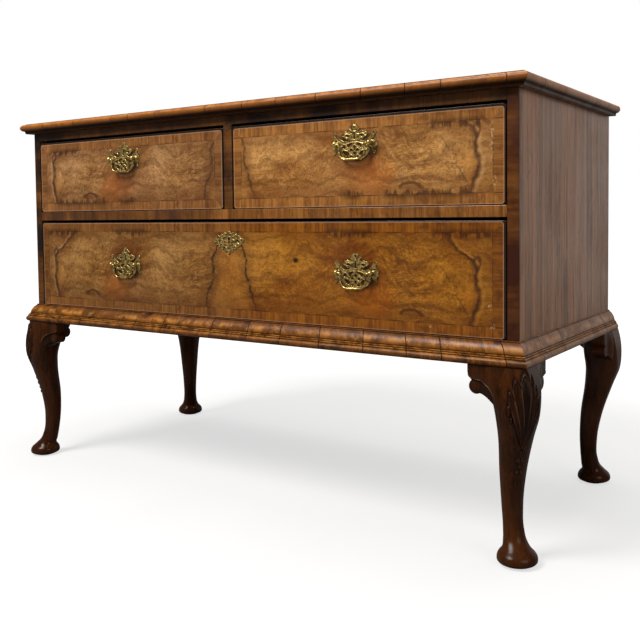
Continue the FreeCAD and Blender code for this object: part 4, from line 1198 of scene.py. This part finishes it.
key_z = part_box("escutcheon")[1].z - key_middle
key_sheet = pierced_plate(key_plate, key_half, key_fall, key_rise)
fix_plates("key_escutcheon", key_sheet, [(0.0, key_z)], "long_drawer", "escutcheon")
finish_nodes(["lock_case"], aged_brass, case_arris)
finish_nodes(["lock_bolt"], aged_brass, bolt_arris)


# Studio: a pale floor that goes over into white where the camera sees it, a broad light above and in front,
# and softer ones at the sides, seen from the photograph's place.
material, place = new_material("pale_floor")
mottle = place.noise(3.0, 3.0)
paint = blend(mottle, (122, 121, 119), (132, 131, 129))
far = add(place.tree, "VectorMath", place, operation="LENGTH", out=1).fade(0.5, 2.4, 0.66, 1.0)
black, white = (0, 0, 0, 1), (1, 1, 1, 1)
glow = blend(far * add(place.tree, "LightPath"), black, white)
surface = place.tree.nodes["Principled BSDF"].inputs
place.tree.links.new(glow.socket, surface["Emission Color"])
surface["Emission Strength"].default_value = 1.0
pale_floor = finish_material(material, paint, mottle * 0.1 + 0.75, mottle, bump=0.0001)
radius = np.array([0, 0.5, 1, 2, 4, 9, 20.0])[:, None]
angle = np.linspace(0, 2 * math.pi, 48, endpoint=False)
points = np.stack([radius * np.cos(angle), radius * np.sin(angle), 0 * radius * angle], axis=-1)
mesh = bpy.data.meshes.new("floor")
mesh.from_pydata(points.reshape(-1, 3).tolist(), [], grid_faces(*points.shape[:2]).tolist())
mesh.materials.append(pale_floor)
floor = bpy.data.objects.new("floor", mesh)
bpy.context.scene.collection.objects.link(floor)

for name, spot, target, size, power, colour in (
    ("key", (-0.9, -2.0, 3.0), (0, 0, 0.45), 1.3, 165, (1, 1, 1)),
    ("side", (1.7, 2.9, 0.9), (0.6, 0, 0.5), 2.4, 8, (1.0, 0.93, 0.88)),
    ("fill", (2.7, -1.0, 1.5), (0.6, 0, 0.45), 1.4, 24, (1.0, 0.95, 0.9)),
    ("top", (0.2, 0.4, 3.0), (0, 0, 0.7), 1.6, 60, (1, 1, 1)),
):
    lamp = bpy.data.lights.new(name, "AREA")
    lamp.shape = "SQUARE"
    lamp.size = size
    lamp.energy = power
    lamp.color = colour
    holder = bpy.data.objects.new(name, lamp)
    aim = np.array(spot) - np.array(target)
    tilt = math.atan2(math.hypot(aim[0], aim[1]), aim[2])
    holder.rotation_euler = (tilt, 0, math.atan2(aim[0], -aim[1]))
    holder.location = spot
    bpy.context.scene.collection.objects.link(holder)

# Only the camera sees a white surround; all else is lit by a dim one
world = bpy.data.worlds.new("studio")
world.use_nodes = True
sky = world.node_tree
surround = blend(add(sky, "LightPath"), (0.16, 0.16, 0.165, 1), white)
sky.links.new(surround.socket, sky.nodes["Background"].inputs["Color"])
scene = bpy.context.scene
scene.world = world
scene.view_settings.view_transform = "Standard"
lens = bpy.data.cameras.new("camera")
lens.lens, lens.sensor_width = 46.54, 36
lens.shift_x, lens.shift_y = -0.02417, -0.10519
camera = bpy.data.objects.new("camera", lens)
camera.location = (1.05426, -1.46097, 0.55129)
camera.rotation_euler = [math.radians(angle) for angle in (87.3786, 0.5983, 33.5981)]
scene.collection.objects.link(camera)
scene.camera = camera
